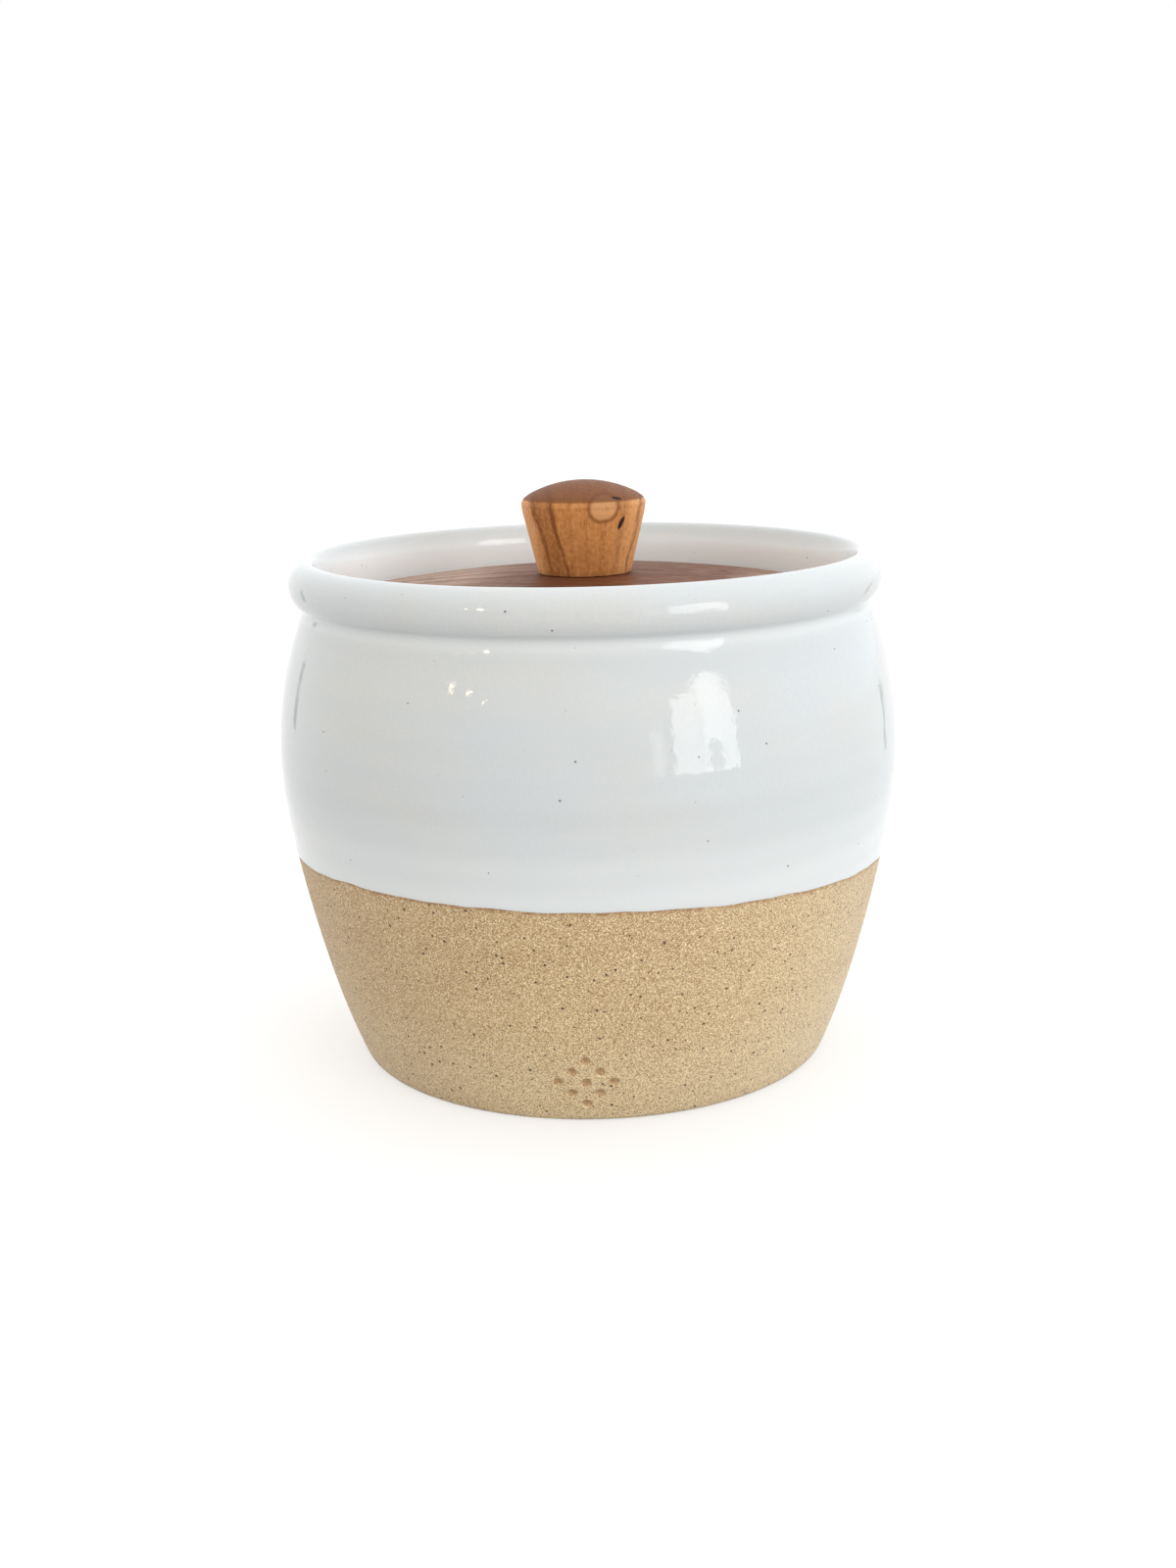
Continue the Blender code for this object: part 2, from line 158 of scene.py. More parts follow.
# Stage, in metres and degrees: azimuth 0 is at the camera's side, and positive to its right. A pane
# is its two sides, its top with its slope, and its share of the window's radiance. A glint is a warm
# lamp's azimuth and rise, its width and height, and its radiance
FLOOR_GAP = 0.0002
LIT_POINT = (0.0, -0.09, 0.12)
WINDOW_PLACE = (40.0, 8.2)
WINDOW_SIZE = (40.0, 32.6)
PANES = (
    (-18.5, -13.0, 4.3, 0.0, 0.24), (-9.2, 1.9, 14.0, 0.32, 0.54),
    (1.6, 10.4, 15.4, 0.0, 0.70), (9.8, 15.6, 21.3, -0.60, 0.60),
)
PANE_SOFT = 0.6
LEAF_REACH = (3.0, 3.0, 0.0)
PLANT_PLACE = (7.0, -9.3, 0.0)
PLANT_SIZE = (3.6, 4.4)
GLINTS = (
    ((-54.0, 19.6), (2.8, 0.15), 60.0),
    ((-46.5, 19.6), (2.2, 0.30), 72.0),
    ((-40.5, 19.0), (1.6, 0.50), 260.0),
)
GLINT_COLOUR = (255, 222, 178)
POSTS = {"left_post": (-133.5, -3.0), "right_post": (136.0, -7.5)}
POST_SIZE = (2.6, 9.0)
POST_COLOUR = (120, 124, 132)
POST_RADIANCE = 1.0
WHITE = (1.0, 1.0, 1.0, 1.0)

# Socket kinds of the node groups
NUMBER = "NodeSocketFloat"
COUNT = "NodeSocketInt"
VECTOR = "NodeSocketVector"
SHAPE = "NodeSocketGeometry"
FINISH = "NodeSocketMaterial"


def tone(red, green, blue):
    """Linear colour of a paint given by its screen values from 0 to 255."""
    shares = [value / 255 for value in (red, green, blue)]
    return [s / 12.92 if s <= 0.04045 else ((s + 0.055) / 1.055) ** 2.4 for s in shares]


# Settings that a user may change


def a_size(name, description, default):
    """A length."""
    return FloatProperty(name=name, description=description, default=default, unit="LENGTH", precision=5)


def an_angle(name, description, degrees):
    """An angle, given in degrees."""
    return FloatProperty(name=name, description=description, default=math.radians(degrees), unit="ROTATION")


def a_share(name, description, default):
    """A share from none to all."""
    return FloatProperty(
        name=name, description=description, default=default, min=0.0, max=1.0, subtype="FACTOR"
    )


def a_number(name, description, default):
    """A number without a unit."""
    return FloatProperty(name=name, description=description, default=default)


def a_count(name, description, default, least, most):
    """A whole number."""
    return IntProperty(name=name, description=description, default=default, min=least, max=most)


def a_colour(name, description, *screen_values):
    """A colour, given by its screen values."""
    default = tone(*screen_values)
    return FloatVectorProperty(
        name=name, description=description, default=default, subtype="COLOR", size=3, min=0.0, max=1.0
    )


class PotSettings(bpy.types.PropertyGroup):
    """Sizes of the thrown pot and the glaze on it"""

    facets: a_count("Facets", "Faces round the pot", 256, 48, 320)
    clay_inset: a_size("Clay inset", "How far the bare clay lies under the glaze's face", 0.00014)
    glaze_thickness: a_size("Glaze thickness", "Thickness of the fired glaze", 0.00045)
    lip_radius: a_size("Lip radius", "Radius of the glaze's rounded lower edge", 0.00022)
    lip_swell: a_size("Lip swell", "How much thicker the glaze is where it stopped running", 0.00010)
    # This also sets how much paler the hollow is painted, as painted light that lifts its shade
    pooling: a_share("Pooling", "How thickly the glaze pools in the hollow under the rim", 0.5)
    lip_fade: a_size("Lip fade", "Height over which the thicker edge fades out", 0.0045)
    dip_height: a_size("Dip height", "Mean height of the line that the pot was dipped to", 0.0633)
    dip_tilt: a_size("Dip tilt", "How far the line rises on its high side", 0.0052)
    dip_tilt_towards: an_angle("High side", "Where round the pot the line is highest", -112)
    dip_wave: a_size("Dip wave", "Height of the small waves in the line", 0.00045)
    ring_pitch: a_size("Ring pitch", "Rise of the throwing ring in one turn", 0.0092)
    ring_depth: a_size("Ring depth", "Depth of the throwing ring outside", 0.00014)
    inner_ring_depth: a_size("Inner ring depth", "Depth of the throwing ring inside", 0.00035)
    trim_depth: a_size("Trim depth", "Depth of the trimming lines in the bare clay", 0.00006)
    wobble: a_size("Wobble", "How far the thrown wall wanders from true", 0.00030)


class DotSettings(bpy.types.PropertyGroup):
    """Sizes of the plain dots pressed low into the front of the pot"""

    across: a_count("Dots across", "Dots along one side of the diamond", 3, 1, 6)
    spacing: a_size("Spacing", "Distance between neighbouring dots", 0.0056)
    radius: a_size("Radius", "Radius of one dot", 0.0017)
    depth: a_size("Depth", "Depth of one dot", 0.0009)
    height: a_size("Height", "Height of the diamond's middle", 0.0134)
    towards: an_angle("Place", "Where round the pot the diamond lies", -92)


class GrogSettings(bpy.types.PropertyGroup):
    """Grains that stand out of the bare clay"""

    pale_density: a_number("Pale grains", "Pale grains to a square metre", 60000)
    pale_radius: a_size("Pale radius", "Largest radius of a pale grain", 0.00028)
    dark_density: a_number("Iron grains", "Iron grains to a square metre", 14000)
    dark_radius: a_size("Iron radius", "Largest radius of an iron grain", 0.00019)
    sunk: a_share("Sunk", "Share of a grain's radius that its middle lies under the clay", 0.55)
    foot_margin: a_size("Foot margin", "Height over the foot that holds no standing grains", 0.0020)
    seed: a_count("Seed", "Which scatter of grains is used", 7, 0, 1000)


class GlazeSettings(bpy.types.PropertyGroup):
    """Colours of the white glaze"""

    body: a_colour("Body", "Colour of the glaze where it is full", 203, 208, 211)
    cool: a_colour("Cool", "Colour of the cooler bands in it", 196, 203, 208)
    warm: a_colour("Thin", "Colour where the clay warms a thin glaze", 207, 206, 201)
    # Thick glaze is whiter. This colour is also painted light that lifts the shade under the rim and inside
    # the mouth
    thick: a_colour("Thick", "Colour where the glaze has pooled thickly", 244, 249, 251)
    edge: a_colour("Edge", "Colour of the last thin glaze at the dip line", 186, 160, 132)
    iron: a_colour("Iron", "Colour of iron specks that came through", 84, 58, 44)
    haze: a_colour("Haze", "Colour of specks that stay under the glaze", 192, 190, 180)
    roughness: a_share("Roughness", "Roughness of the fired surface", 0.035)


class ClaySettings(bpy.types.PropertyGroup):
    """Colours of the bare stoneware"""

    body: a_colour("Body", "Main colour of the fired clay", 213, 187, 142)
    sand: a_colour("Sand", "Colour of the pale sand in it", 248, 230, 192)
    umber: a_colour("Umber", "Colour of the browner grains", 146, 108, 68)
    iron: a_colour("Iron", "Colour of the iron specks", 60, 43, 33)
    ash: a_colour("Ash", "Colour of the greyer clouds", 190, 164, 126)
    # This colour also paints shade on the clay's left side
    toast: a_colour("Toast", "Colour of the clay toasted along the glaze", 156, 108, 64)
    toast_width: a_size("Toast width", "Width of the toasted band under the glaze", 0.0016)


class LidSettings(bpy.types.PropertyGroup):
    """Sizes and colours of the turned lid"""

    facets: a_count("Facets", "Faces round the lid", 224, 48, 320)
    row: a_size("Row", "Distance between rows of faces", 0.0014)
    body: a_colour("Body", "Main colour of the dark wood", 118, 72, 43)
    late: a_colour("Late wood", "Colour of the darker growth rings", 84, 47, 27)
    worn: a_colour("Worn", "Colour of the handled edge", 158, 108, 72)
    # A painted sheen on both sides of the top, paler and greyer where the waxed top reflects light
    bleached: a_colour("Bleached", "Colour where washing has bleached it", 188, 162, 144)
    ring_width: a_size("Ring width", "Distance between growth rings", 0.0042)
    roughness: a_share("Roughness", "Roughness of the waxed surface", 0.56)


class KnobSettings(bpy.types.PropertyGroup):
    """Sizes and colours of the turned knob"""

    facets: a_count("Facets", "Faces round the knob", 192, 32, 320)
    row: a_size("Row", "Distance between rows of faces", 0.0005)
    easing: a_size("Easing", "How far the sanded shoulder is rounded back", 0.0006)
    body: a_colour("Body", "Main colour of the pale wood", 200, 136, 78)
    pale: a_colour("Pale", "Colour of the palest streaks", 232, 174, 118)
    late: a_colour("Late wood", "Colour of the dark grain bands", 126, 72, 32)
    knot: a_colour("Knot", "Colour of the small knot's heart", 216, 160, 108)
    crack: a_colour("Crack", "Colour inside the small crack", 46, 26, 16)
    worn: a_colour("Worn", "Colour of the handled top", 106, 61, 32)
    ring_width: a_size("Ring width", "Distance between growth rings", 0.0052)
    roughness: a_share("Roughness", "Roughness of the oiled surface", 0.56)


class ScrewSettings(bpy.types.PropertyGroup):
    """Sizes of the wood screw that holds the knob"""

    facets: a_count("Facets", "Faces round the screw", 48, 12, 96)
    rows: a_count("Rows", "Rows of faces in one turn of the thread", 14, 6, 32)
    core_radius: a_size("Core radius", "Radius of the shank under the thread", 0.0014)
    thread_radius: a_size("Thread radius", "Radius of the thread's crest", 0.0021)
    pitch: a_size("Pitch", "Rise of the thread in one turn", 0.0018)
    bite: a_size("Bite", "Length of the threaded end with its tip", 0.0152)
    tip: a_size("Tip", "Length of the pointed tip", 0.0030)
    head_rim: a_size("Head rim", "Height of the upright rim of the head", 0.0004)
    head_round: a_size("Head round", "Softness of the head's edge", 0.0001)
    drive_length: a_size("Drive length", "Length of each slot of the cross", 0.0046)
    drive_width: a_size("Drive width", "Width of each slot of the cross", 0.0010)
    drive_depth: a_size("Drive depth", "Depth of the cross", 0.0016)


class WeightSettings(bpy.types.PropertyGroup):
    """Sizes of the half-moon weights"""

    corner_round: a_size("Corner round", "Rounding of the half-moon's two corners", 0.0060)
    edge_round: a_size("Edge round", "Rounding of the top and bottom edges", 0.0018)
    hole_radius: a_size("Hole radius", "Radius of the finger hole", 0.0100)
    hole_offset: a_size("Hole offset", "Distance of the finger hole from the pot's axis", 0.0260)
    facets: a_count("Facets", "Faces round a whole circle", 160, 32, 320)


class StageSettings(bpy.types.PropertyGroup):
    """Camera, floor and light"""

    lens: a_number("Lens", "Focal length for a 36 mm long side", 41.625)
    distance: a_size("Distance", "Distance of the camera from the pot's axis", 0.5525)
    height: a_size("Height", "Height of the camera", 0.2173)
    pitch: an_angle("Pitch", "How far the camera looks down", 13.892)
    yaw: an_angle("Yaw", "How far the camera turns right", -0.044)
    roll: an_angle("Roll", "How far the camera leans", -1.232)
    floor_width: a_size("Floor", "Width of the floor", 8.0)
    floor: a_colour("Floor colour", "Colour of the pale floor", 178, 178, 178)
    floor_lift: a_number("Floor lift", "Glow that the camera adds to the floor", 0.54)
    sky: a_number("Sky", "Strength of the soft light all round", 1.48)
    sky_lean: a_number("Sky lean", "How much brighter its bright side is", 0.33)
    sky_rise: a_number("Sky rise", "How much brighter it is overhead", -0.20)
    sky_mirrored: a_share("Sky mirrored", "How bright the soft light is in reflections", 0.76)
    sky_towards: an_angle("Sky side", "Where the soft light is brightest", 55)
    sky_cool: a_colour("Sky cool", "Colour of the light from the bright side", 249, 251, 253)
    sky_warm: a_colour("Sky warm", "Colour of the light from the other side", 255, 250, 242)
    window: a_number("Window", "Radiance that the window's panes take their shares of", 6.2)
    window_distance: a_size("Window distance", "Distance of the window from the pot", 1.2)


class CrockSettings(bpy.types.PropertyGroup):
    """All settings of the crock"""

    pot: PointerProperty(type=PotSettings)
    dots: PointerProperty(type=DotSettings)
    grog: PointerProperty(type=GrogSettings)
    glaze: PointerProperty(type=GlazeSettings)
    clay: PointerProperty(type=ClaySettings)
    lid: PointerProperty(type=LidSettings)
    knob: PointerProperty(type=KnobSettings)
    screw: PointerProperty(type=ScrewSettings)
    weights: PointerProperty(type=WeightSettings)
    stage: PointerProperty(type=StageSettings)


class Nodes:
    """A node tree that is being built. A step adds a node and gives its outputs, or the one in use."""

    def __init__(self, tree):
        self.tree = tree

    def fill(self, node, inputs):
        """Fills a node's inputs with values or with other nodes' outputs."""
        for key, value in inputs.items():
            if isinstance(value, bpy.types.NodeSocket):
                self.tree.links.new(value, node.inputs[key])
            else:
                node.inputs[key].default_value = value

    def add(self, kind, inputs=None, **options):
        """Adds a node, sets its options and fills its inputs."""
        node = self.tree.nodes.new(kind)
        for option, value in options.items():
            setattr(node, option, value)
        self.fill(node, inputs or {})
        return node.outputs

    def calculate(self, operation, *values):
        """One step of arithmetic."""
        return self.add("ShaderNodeMath", dict(enumerate(values)), operation=operation)[0]

    plus = partialmethod(calculate, "ADD")
    minus = partialmethod(calculate, "SUBTRACT")
    times = partialmethod(calculate, "MULTIPLY")
    over = partialmethod(calculate, "DIVIDE")
    larger = partialmethod(calculate, "MAXIMUM")
    times_plus = partialmethod(calculate, "MULTIPLY_ADD")

    def count(self, operation, *values):
        """One step of arithmetic on whole numbers."""
        return self.add("FunctionNodeIntegerMath", dict(enumerate(values)), operation=operation)[0]

    def vector(self, operation, *values):
        """One step of vector arithmetic."""
        return self.add("ShaderNodeVectorMath", dict(enumerate(values)), operation=operation)

    def stretch(self, vector, scales):
        """A vector stretched by its own factor along each axis."""
        return self.vector("MULTIPLY", vector, scales)[0]

    def scale(self, vector, factor):
        """A vector made longer by one factor."""
        return self.add("ShaderNodeVectorMath", {0: vector, "Scale": factor}, operation="SCALE")[0]

    def length(self, vector):
        """The length of a vector."""
        return self.vector("LENGTH", vector)["Value"]

    def split(self, vector):
        """The three parts of a vector."""
        return self.add("ShaderNodeSeparateXYZ", {0: vector})

    def mix(self, mask, low, high):
        """A colour mixed by a mask. Plain colours are given as three values."""
        inputs = {0: mask}
        for key, colour in ((6, low), (7, high)):
            inputs[key] = colour if isinstance(colour, bpy.types.NodeSocket) else (*colour, 1.0)
        return self.add("ShaderNodeMix", inputs, data_type="RGBA")[2]

    def paint(self, colour, *coats):
        """Lays coats over a colour. Each has its mask, the strength of the mask and its own colour."""
        for mask, strength, coat in coats:
            colour = self.mix(self.times(mask, strength), colour, coat)
        return colour

    def ramp(self, value, low, high, to_low=0.0, to_high=1.0):
        """A value moved from one range to another along a soft curve, and held at its ends."""
        inputs = {0: value, 1: low, 2: high, 3: to_low, 4: to_high}
        return self.add("ShaderNodeMapRange", inputs, interpolation_type="SMOOTHSTEP")[0]

    def place(self):
        """A point's place in the object's own frame."""
        return self.add("ShaderNodeTexCoord")["Object"]

    def value(self, name):
        """One of a piece's own values."""
        return self.add("ShaderNodeAttribute", attribute_name=name)["Fac"]

    def bump(self, height, distance, *under):
        """A small relief of a given full height, over another one if it is given."""
        inputs = {"Height": height, "Distance": distance, "Strength": 1.0}
        return self.add("ShaderNodeBump", {**inputs, **{"Normal": normal for normal in under}})[0]

    def noise(self, vector, scale, detail=2.0, roughness=0.5):
        """Plain noise, from about 0.2 to 0.8."""
        inputs = {"Vector": vector, "Scale": scale, "Detail": detail, "Roughness": roughness}
        return self.add("ShaderNodeTexNoise", inputs)["Fac"]

    def cells(self, vector, scale):
        """Distances from the middles of scattered cells, and three chances for each cell."""
        found = self.add("ShaderNodeTexVoronoi", {"Vector": vector, "Scale": scale})
        return found["Distance"], self.add("ShaderNodeSeparateColor", {0: found["Color"]})

    def group(self, name, inputs):
        """Places a shader group."""
        return self.add("ShaderNodeGroup", inputs, node_tree=bpy.data.node_groups[name])

    def mottle(self, vector, size, detail=2.0, contrast=1.0):
        """Soft clouds of a size."""
        inputs = {"Vector": vector, "Size": size, "Detail": detail, "Contrast": contrast}
        return self.group("Mottle", inputs)["Tone"]

    def specks(self, vector, spacing, size, share):
        """Round specks: their spacing, their radius as a share of it, and how many places hold one."""
        inputs = {"Vector": vector, "Spacing": spacing, "Size": size, "Share": share}
        return self.group("Specks", inputs)["Mask"]

    def wear(self, vector):
        """Where the piece's rounded edges are rubbed."""
        return self.group("Edge wear", {"Vector": vector, "Edge": self.value("edge")})["Mask"]


def new_group(name, kind, inputs, outputs):
    """A node group with named sockets, as its nodes, its given values and its result."""
    tree = bpy.data.node_groups.new(name, kind)
    for in_out, sockets in (("INPUT", inputs), ("OUTPUT", outputs)):
        for label, socket in sockets.items():
            tree.interface.new_socket(label, in_out=in_out, socket_type=socket)
    nodes = Nodes(tree)
    return nodes, nodes.add("NodeGroupInput"), tree.nodes.new("NodeGroupOutput")


def new_material(name):
    """A material with its nodes and its shader."""
    material = bpy.data.materials.new(name)
    material.use_nodes = True
    return material, Nodes(material.node_tree), material.node_tree.nodes["Principled BSDF"]


# Shader groups that more than one finish uses


def make_speck_group():
    """Round specks of uneven size: each cell of a cell pattern may hold one."""
    sockets = {"Vector": VECTOR, "Spacing": NUMBER, "Size": NUMBER, "Share": NUMBER}
    nodes, given, result = new_group("Specks", "ShaderNodeTree", sockets, {"Mask": NUMBER})
    distance, chance = nodes.cells(given["Vector"], nodes.over(1.0, given["Spacing"]))
    size = nodes.times(given["Size"], nodes.ramp(chance[1], 0.0, 1.0, 0.45, 1.0))
    spot = nodes.ramp(distance, size, nodes.times(size, 0.55))
    nodes.fill(result, {0: nodes.times(spot, nodes.calculate("LESS_THAN", chance[0], given["Share"]))})


def make_mottle_group():
    """Soft clouds from 0 to 1, of a given size."""
    sockets = {"Vector": VECTOR, "Size": NUMBER, "Detail": NUMBER, "Contrast": NUMBER}
    nodes, given, result = new_group("Mottle", "ShaderNodeTree", sockets, {"Tone": NUMBER})
    clouds = nodes.noise(given["Vector"], nodes.over(1.0, given["Size"]), given["Detail"])
    reach = nodes.over(0.25, given["Contrast"])
    nodes.fill(result, {0: nodes.ramp(clouds, nodes.minus(0.5, reach), nodes.plus(0.5, reach))})


def make_wood_group():
    """Growth rings round the X axis, fine fibres along it, and short open pores."""
    sockets = {"Vector": VECTOR, "Ring width": NUMBER, "Waver": NUMBER}
    outputs = {"Late wood": NUMBER, "Fibres": NUMBER, "Pores": NUMBER}
    nodes, given, result = new_group("Wood grain", "ShaderNodeTree", sockets, outputs)
    vector = given["Vector"]
    drift = nodes.minus(nodes.noise(nodes.stretch(vector, (9.0, 38.0, 38.0)), 1.0), 0.5)
    radius = nodes.length(nodes.stretch(vector, (0.0, 1.0, 1.0)))
    ring = nodes.over(nodes.plus(radius, nodes.times(drift, given["Waver"])), given["Ring width"])
    phase = nodes.calculate("FRACT", ring)
    late = nodes.times(nodes.ramp(phase, 0.35, 0.86), nodes.ramp(phase, 1.0, 0.9))
    fibres = nodes.noise(nodes.stretch(vector, (70.0, 1500.0, 1500.0)), 1.0, detail=3.0)
    distance, chance = nodes.cells(nodes.stretch(vector, (240.0, 1700.0, 1700.0)), 1.0)
    pores = nodes.times(nodes.ramp(distance, 0.34, 0.14), nodes.calculate("LESS_THAN", chance[0], 0.4))
    nodes.fill(result, {0: late, 1: nodes.ramp(fibres, 0.3, 0.7), 2: pores})


def make_wear_group():
    """Where hands rub a rounded edge: the edge's own value, broken up by small clouds."""
    sockets = {"Vector": VECTOR, "Edge": NUMBER}
    nodes, given, result = new_group("Edge wear", "ShaderNodeTree", sockets, {"Mask": NUMBER})
    clouds = nodes.mottle(given["Vector"], size=0.006, detail=3.0)
    rubbed = nodes.times(given["Edge"], nodes.ramp(clouds, 0.0, 1.0, 0.45, 1.25))
    nodes.fill(result, {0: nodes.calculate("MINIMUM", rubbed, 1.0)})


# Finishes


def make_glaze_finish(settings):
    """White tin-like glaze: clouds, a few iron specks, a warm thin edge and a faint orange peel. It is
    paler where it pools and near the dip line. In the hollow under the rim and inside the mouth that
    paleness is also painted light that lifts their shade.
    """
    material, nodes, shader = new_material("white_glaze_finish")
    place = nodes.place()
    above = nodes.value("above_dip")
    bands = nodes.mottle(nodes.stretch(place, (0.12, 0.12, 1.0)), size=0.011)
    grain = nodes.noise(place, 1300.0)
    # The glaze is paler towards the dip line
    drained = nodes.ramp(above, 0.030, 0.002, 0.0, 0.38)
    iron = nodes.specks(place, spacing=0.0062, size=0.068, share=0.75)
    colour = nodes.paint(
        settings.body,
        (nodes.mottle(place, size=0.034, detail=3.0, contrast=1.1), 0.75, settings.warm),
        (bands, 0.55, settings.cool),
        (nodes.ramp(grain, 0.35, 0.65), 0.60, settings.cool),
        # Pooled glaze is whiter. In the hollow under the rim and inside the mouth it is also painted light
        # that lifts their shade
        (nodes.larger(nodes.value("pooled"), drained), 1.0, settings.thick),
        (nodes.wear(place), 0.12, settings.warm),
        (nodes.specks(place, spacing=0.0052, size=0.065, share=0.30), 0.55, settings.haze),
        (iron, 0.85, settings.iron),
        (nodes.ramp(above, 0.0003, 0.0), 0.5, settings.edge),
    )
    peel = nodes.noise(place, 420.0)
    swell = nodes.bump(nodes.noise(place, 95.0, detail=1.0), 0.00006)
    nodes.fill(shader, {
        "Base Color": colour,
        "Roughness": nodes.ramp(peel, 0.2, 0.8, settings.roughness * 0.7, settings.roughness * 1.4),
        "Normal": nodes.bump(nodes.plus(peel, nodes.times(iron, -0.6)), 0.00004, swell),
        "IOR": 1.5,
    })
    return material


def make_clay_finish(name, settings):
    """Bare stoneware: sand and iron grains, grey clouds, trimming lines and a toasted top edge. Painted
    shade makes its left side darker and warmer, and painted light makes its right side and its lower part
    paler.
    """
    material, nodes, shader = new_material(name)
    place = nodes.place()
    across, _, height = nodes.split(place)
    lines = nodes.mottle(nodes.stretch(place, (0.06, 0.06, 1.0)), size=0.0030)
    grit = nodes.noise(place, 2700.0, roughness=0.6)
    sand = nodes.specks(place, spacing=0.0008, size=0.42, share=0.50)
    umber = nodes.specks(place, spacing=0.0009, size=0.40, share=0.40)
    crumbs = nodes.ramp(nodes.mottle(place, size=0.0016, detail=3.0, contrast=1.6), 0.0, 1.0, 0.25, 1.0)
    toasted = nodes.times(crumbs, nodes.ramp(nodes.value("below_dip"), settings.toast_width, 0.0))
    colour = nodes.paint(
        settings.body,
        (nodes.mottle(place, size=0.030, detail=3.0, contrast=1.1), 0.32, settings.ash),
        (nodes.ramp(height, 0.032, 0.060), 0.16, settings.umber),
        # Painted light: the clay is paler towards the foot, where light from the floor falls
        (nodes.ramp(height, 0.036, 0.012), 0.36, settings.sand),
        # Painted shade: the left side is darker and warmer
        (nodes.ramp(across, -0.01, -0.07), 0.22, settings.toast),
        # Painted light: the right side is paler
        (nodes.ramp(across, 0.02, 0.08), 0.25, settings.sand),
        (lines, 0.12, settings.umber),
        (nodes.ramp(grit, 0.50, 0.34), 1.0, settings.umber),
        (nodes.ramp(grit, 0.52, 0.66), 1.0, settings.sand),
        (umber, 0.70, settings.umber),
        (sand, 0.70, settings.sand),
        (nodes.specks(place, spacing=0.0025, size=0.22, share=0.80), 0.95, settings.iron),
        (toasted, 0.8, settings.toast),
        # Darker the deeper in a dot
        (nodes.value("sunk"), 0.70, settings.toast),
    )
    grains = nodes.minus(nodes.plus(grit, nodes.times(sand, 0.5)), nodes.times(umber, 0.4))
    nodes.fill(shader, {
        "Base Color": colour,
        "Roughness": nodes.ramp(grit, 0.2, 0.8, 0.80, 0.95),
        "Normal": nodes.bump(grains, 0.00016, nodes.bump(lines, 0.00008)),
        "Sheen Weight": 0.25,
        "Sheen Roughness": 0.5,
    })
    return material


def make_grain_finish(name, colour, darker):
    """A hard little grain, paler and darker from one to the next."""
    material, nodes, shader = new_material(name)
    place = nodes.place()
    facets = nodes.noise(place, 5200.0)
    nodes.fill(shader, {
        "Base Color": nodes.mix(nodes.mottle(place, size=0.0016, detail=1.0, contrast=1.4), colour, darker),
        "Roughness": nodes.ramp(facets, 0.2, 0.8, 0.6, 0.85),
        "Normal": nodes.bump(facets, 0.00005),
    })
    return material


def make_lid_finish(settings):
    """Dark waxed wood: wandering rings, fine fibres, pores, a painted sheen on both sides of the top, a
    rubbed rim.
    """
    material, nodes, shader = new_material("dark_wood_finish")
    place = nodes.place()
    laid = {"Vector": place, "Location": (0.0, 0.018, -0.098), "Rotation": (0.0, 0.03, 0.16)}
    log = nodes.add("ShaderNodeMapping", laid)[0]
    wood = {"Vector": log, "Ring width": settings.ring_width, "Waver": 0.011}
    late, fibres, pores = nodes.group("Wood grain", wood)
    clouds = nodes.mottle(place, size=0.040)
    across, _, height = nodes.split(place)
    across = nodes.plus(across, nodes.ramp(clouds, 0.0, 1.0, -0.006, 0.006))
    # Painted sheen: both sides of the top are painted paler and greyer, where a waxed top reflects light
    left_side = nodes.ramp(across, -0.006, -0.052, 0.0, 0.85)
    right_side = nodes.ramp(across, 0.040, 0.066, 0.0, 0.80)
    top_side = nodes.ramp(height, 0.1345, 0.1385)
    colour = nodes.paint(
        settings.body,
        # The painted sheen
        (nodes.times(nodes.larger(left_side, right_side), top_side), 1.0, settings.bleached),
        (late, 0.60, settings.late),
        (clouds, 0.20, settings.late),
        (nodes.ramp(fibres, 0.45, 0.0), 0.40, settings.late),
        (nodes.ramp(fibres, 0.60, 1.0), 0.25, settings.worn),
        (nodes.wear(place), 0.5, settings.worn),
        (pores, 0.7, settings.late),
    )
    nodes.fill(shader, {
        "Base Color": colour,
        "Roughness": nodes.ramp(fibres, 0.0, 1.0, settings.roughness * 1.2, settings.roughness * 0.85),
        "Normal": nodes.bump(nodes.minus(fibres, nodes.times(pores, 1.6)), 0.00006),
        "Specular IOR Level": 0.17,
    })
    return material


def grain_band(nodes, across, rise, foot_place, top_place, width):
    """A soft dark line across the grain, from its place at the foot to its place at the top."""
    middle = nodes.ramp(rise, 0.0, 1.0, foot_place, top_place)
    distance = nodes.calculate("ABSOLUTE", nodes.minus(across, middle))
    return nodes.ramp(distance, width, width * 0.2)


def oval(nodes, vector, centre, radii, turn):
    """Distance from an oval's middle, 1 on its edge, in the XZ plane."""
    moved = nodes.vector("SUBTRACT", vector, centre)[0]
    turned = nodes.add("ShaderNodeMapping", {"Vector": moved, "Rotation": (0.0, turn, 0.0)})[0]
    return nodes.length(nodes.stretch(turned, (1 / radii[0], 0.0, 1 / radii[1])))


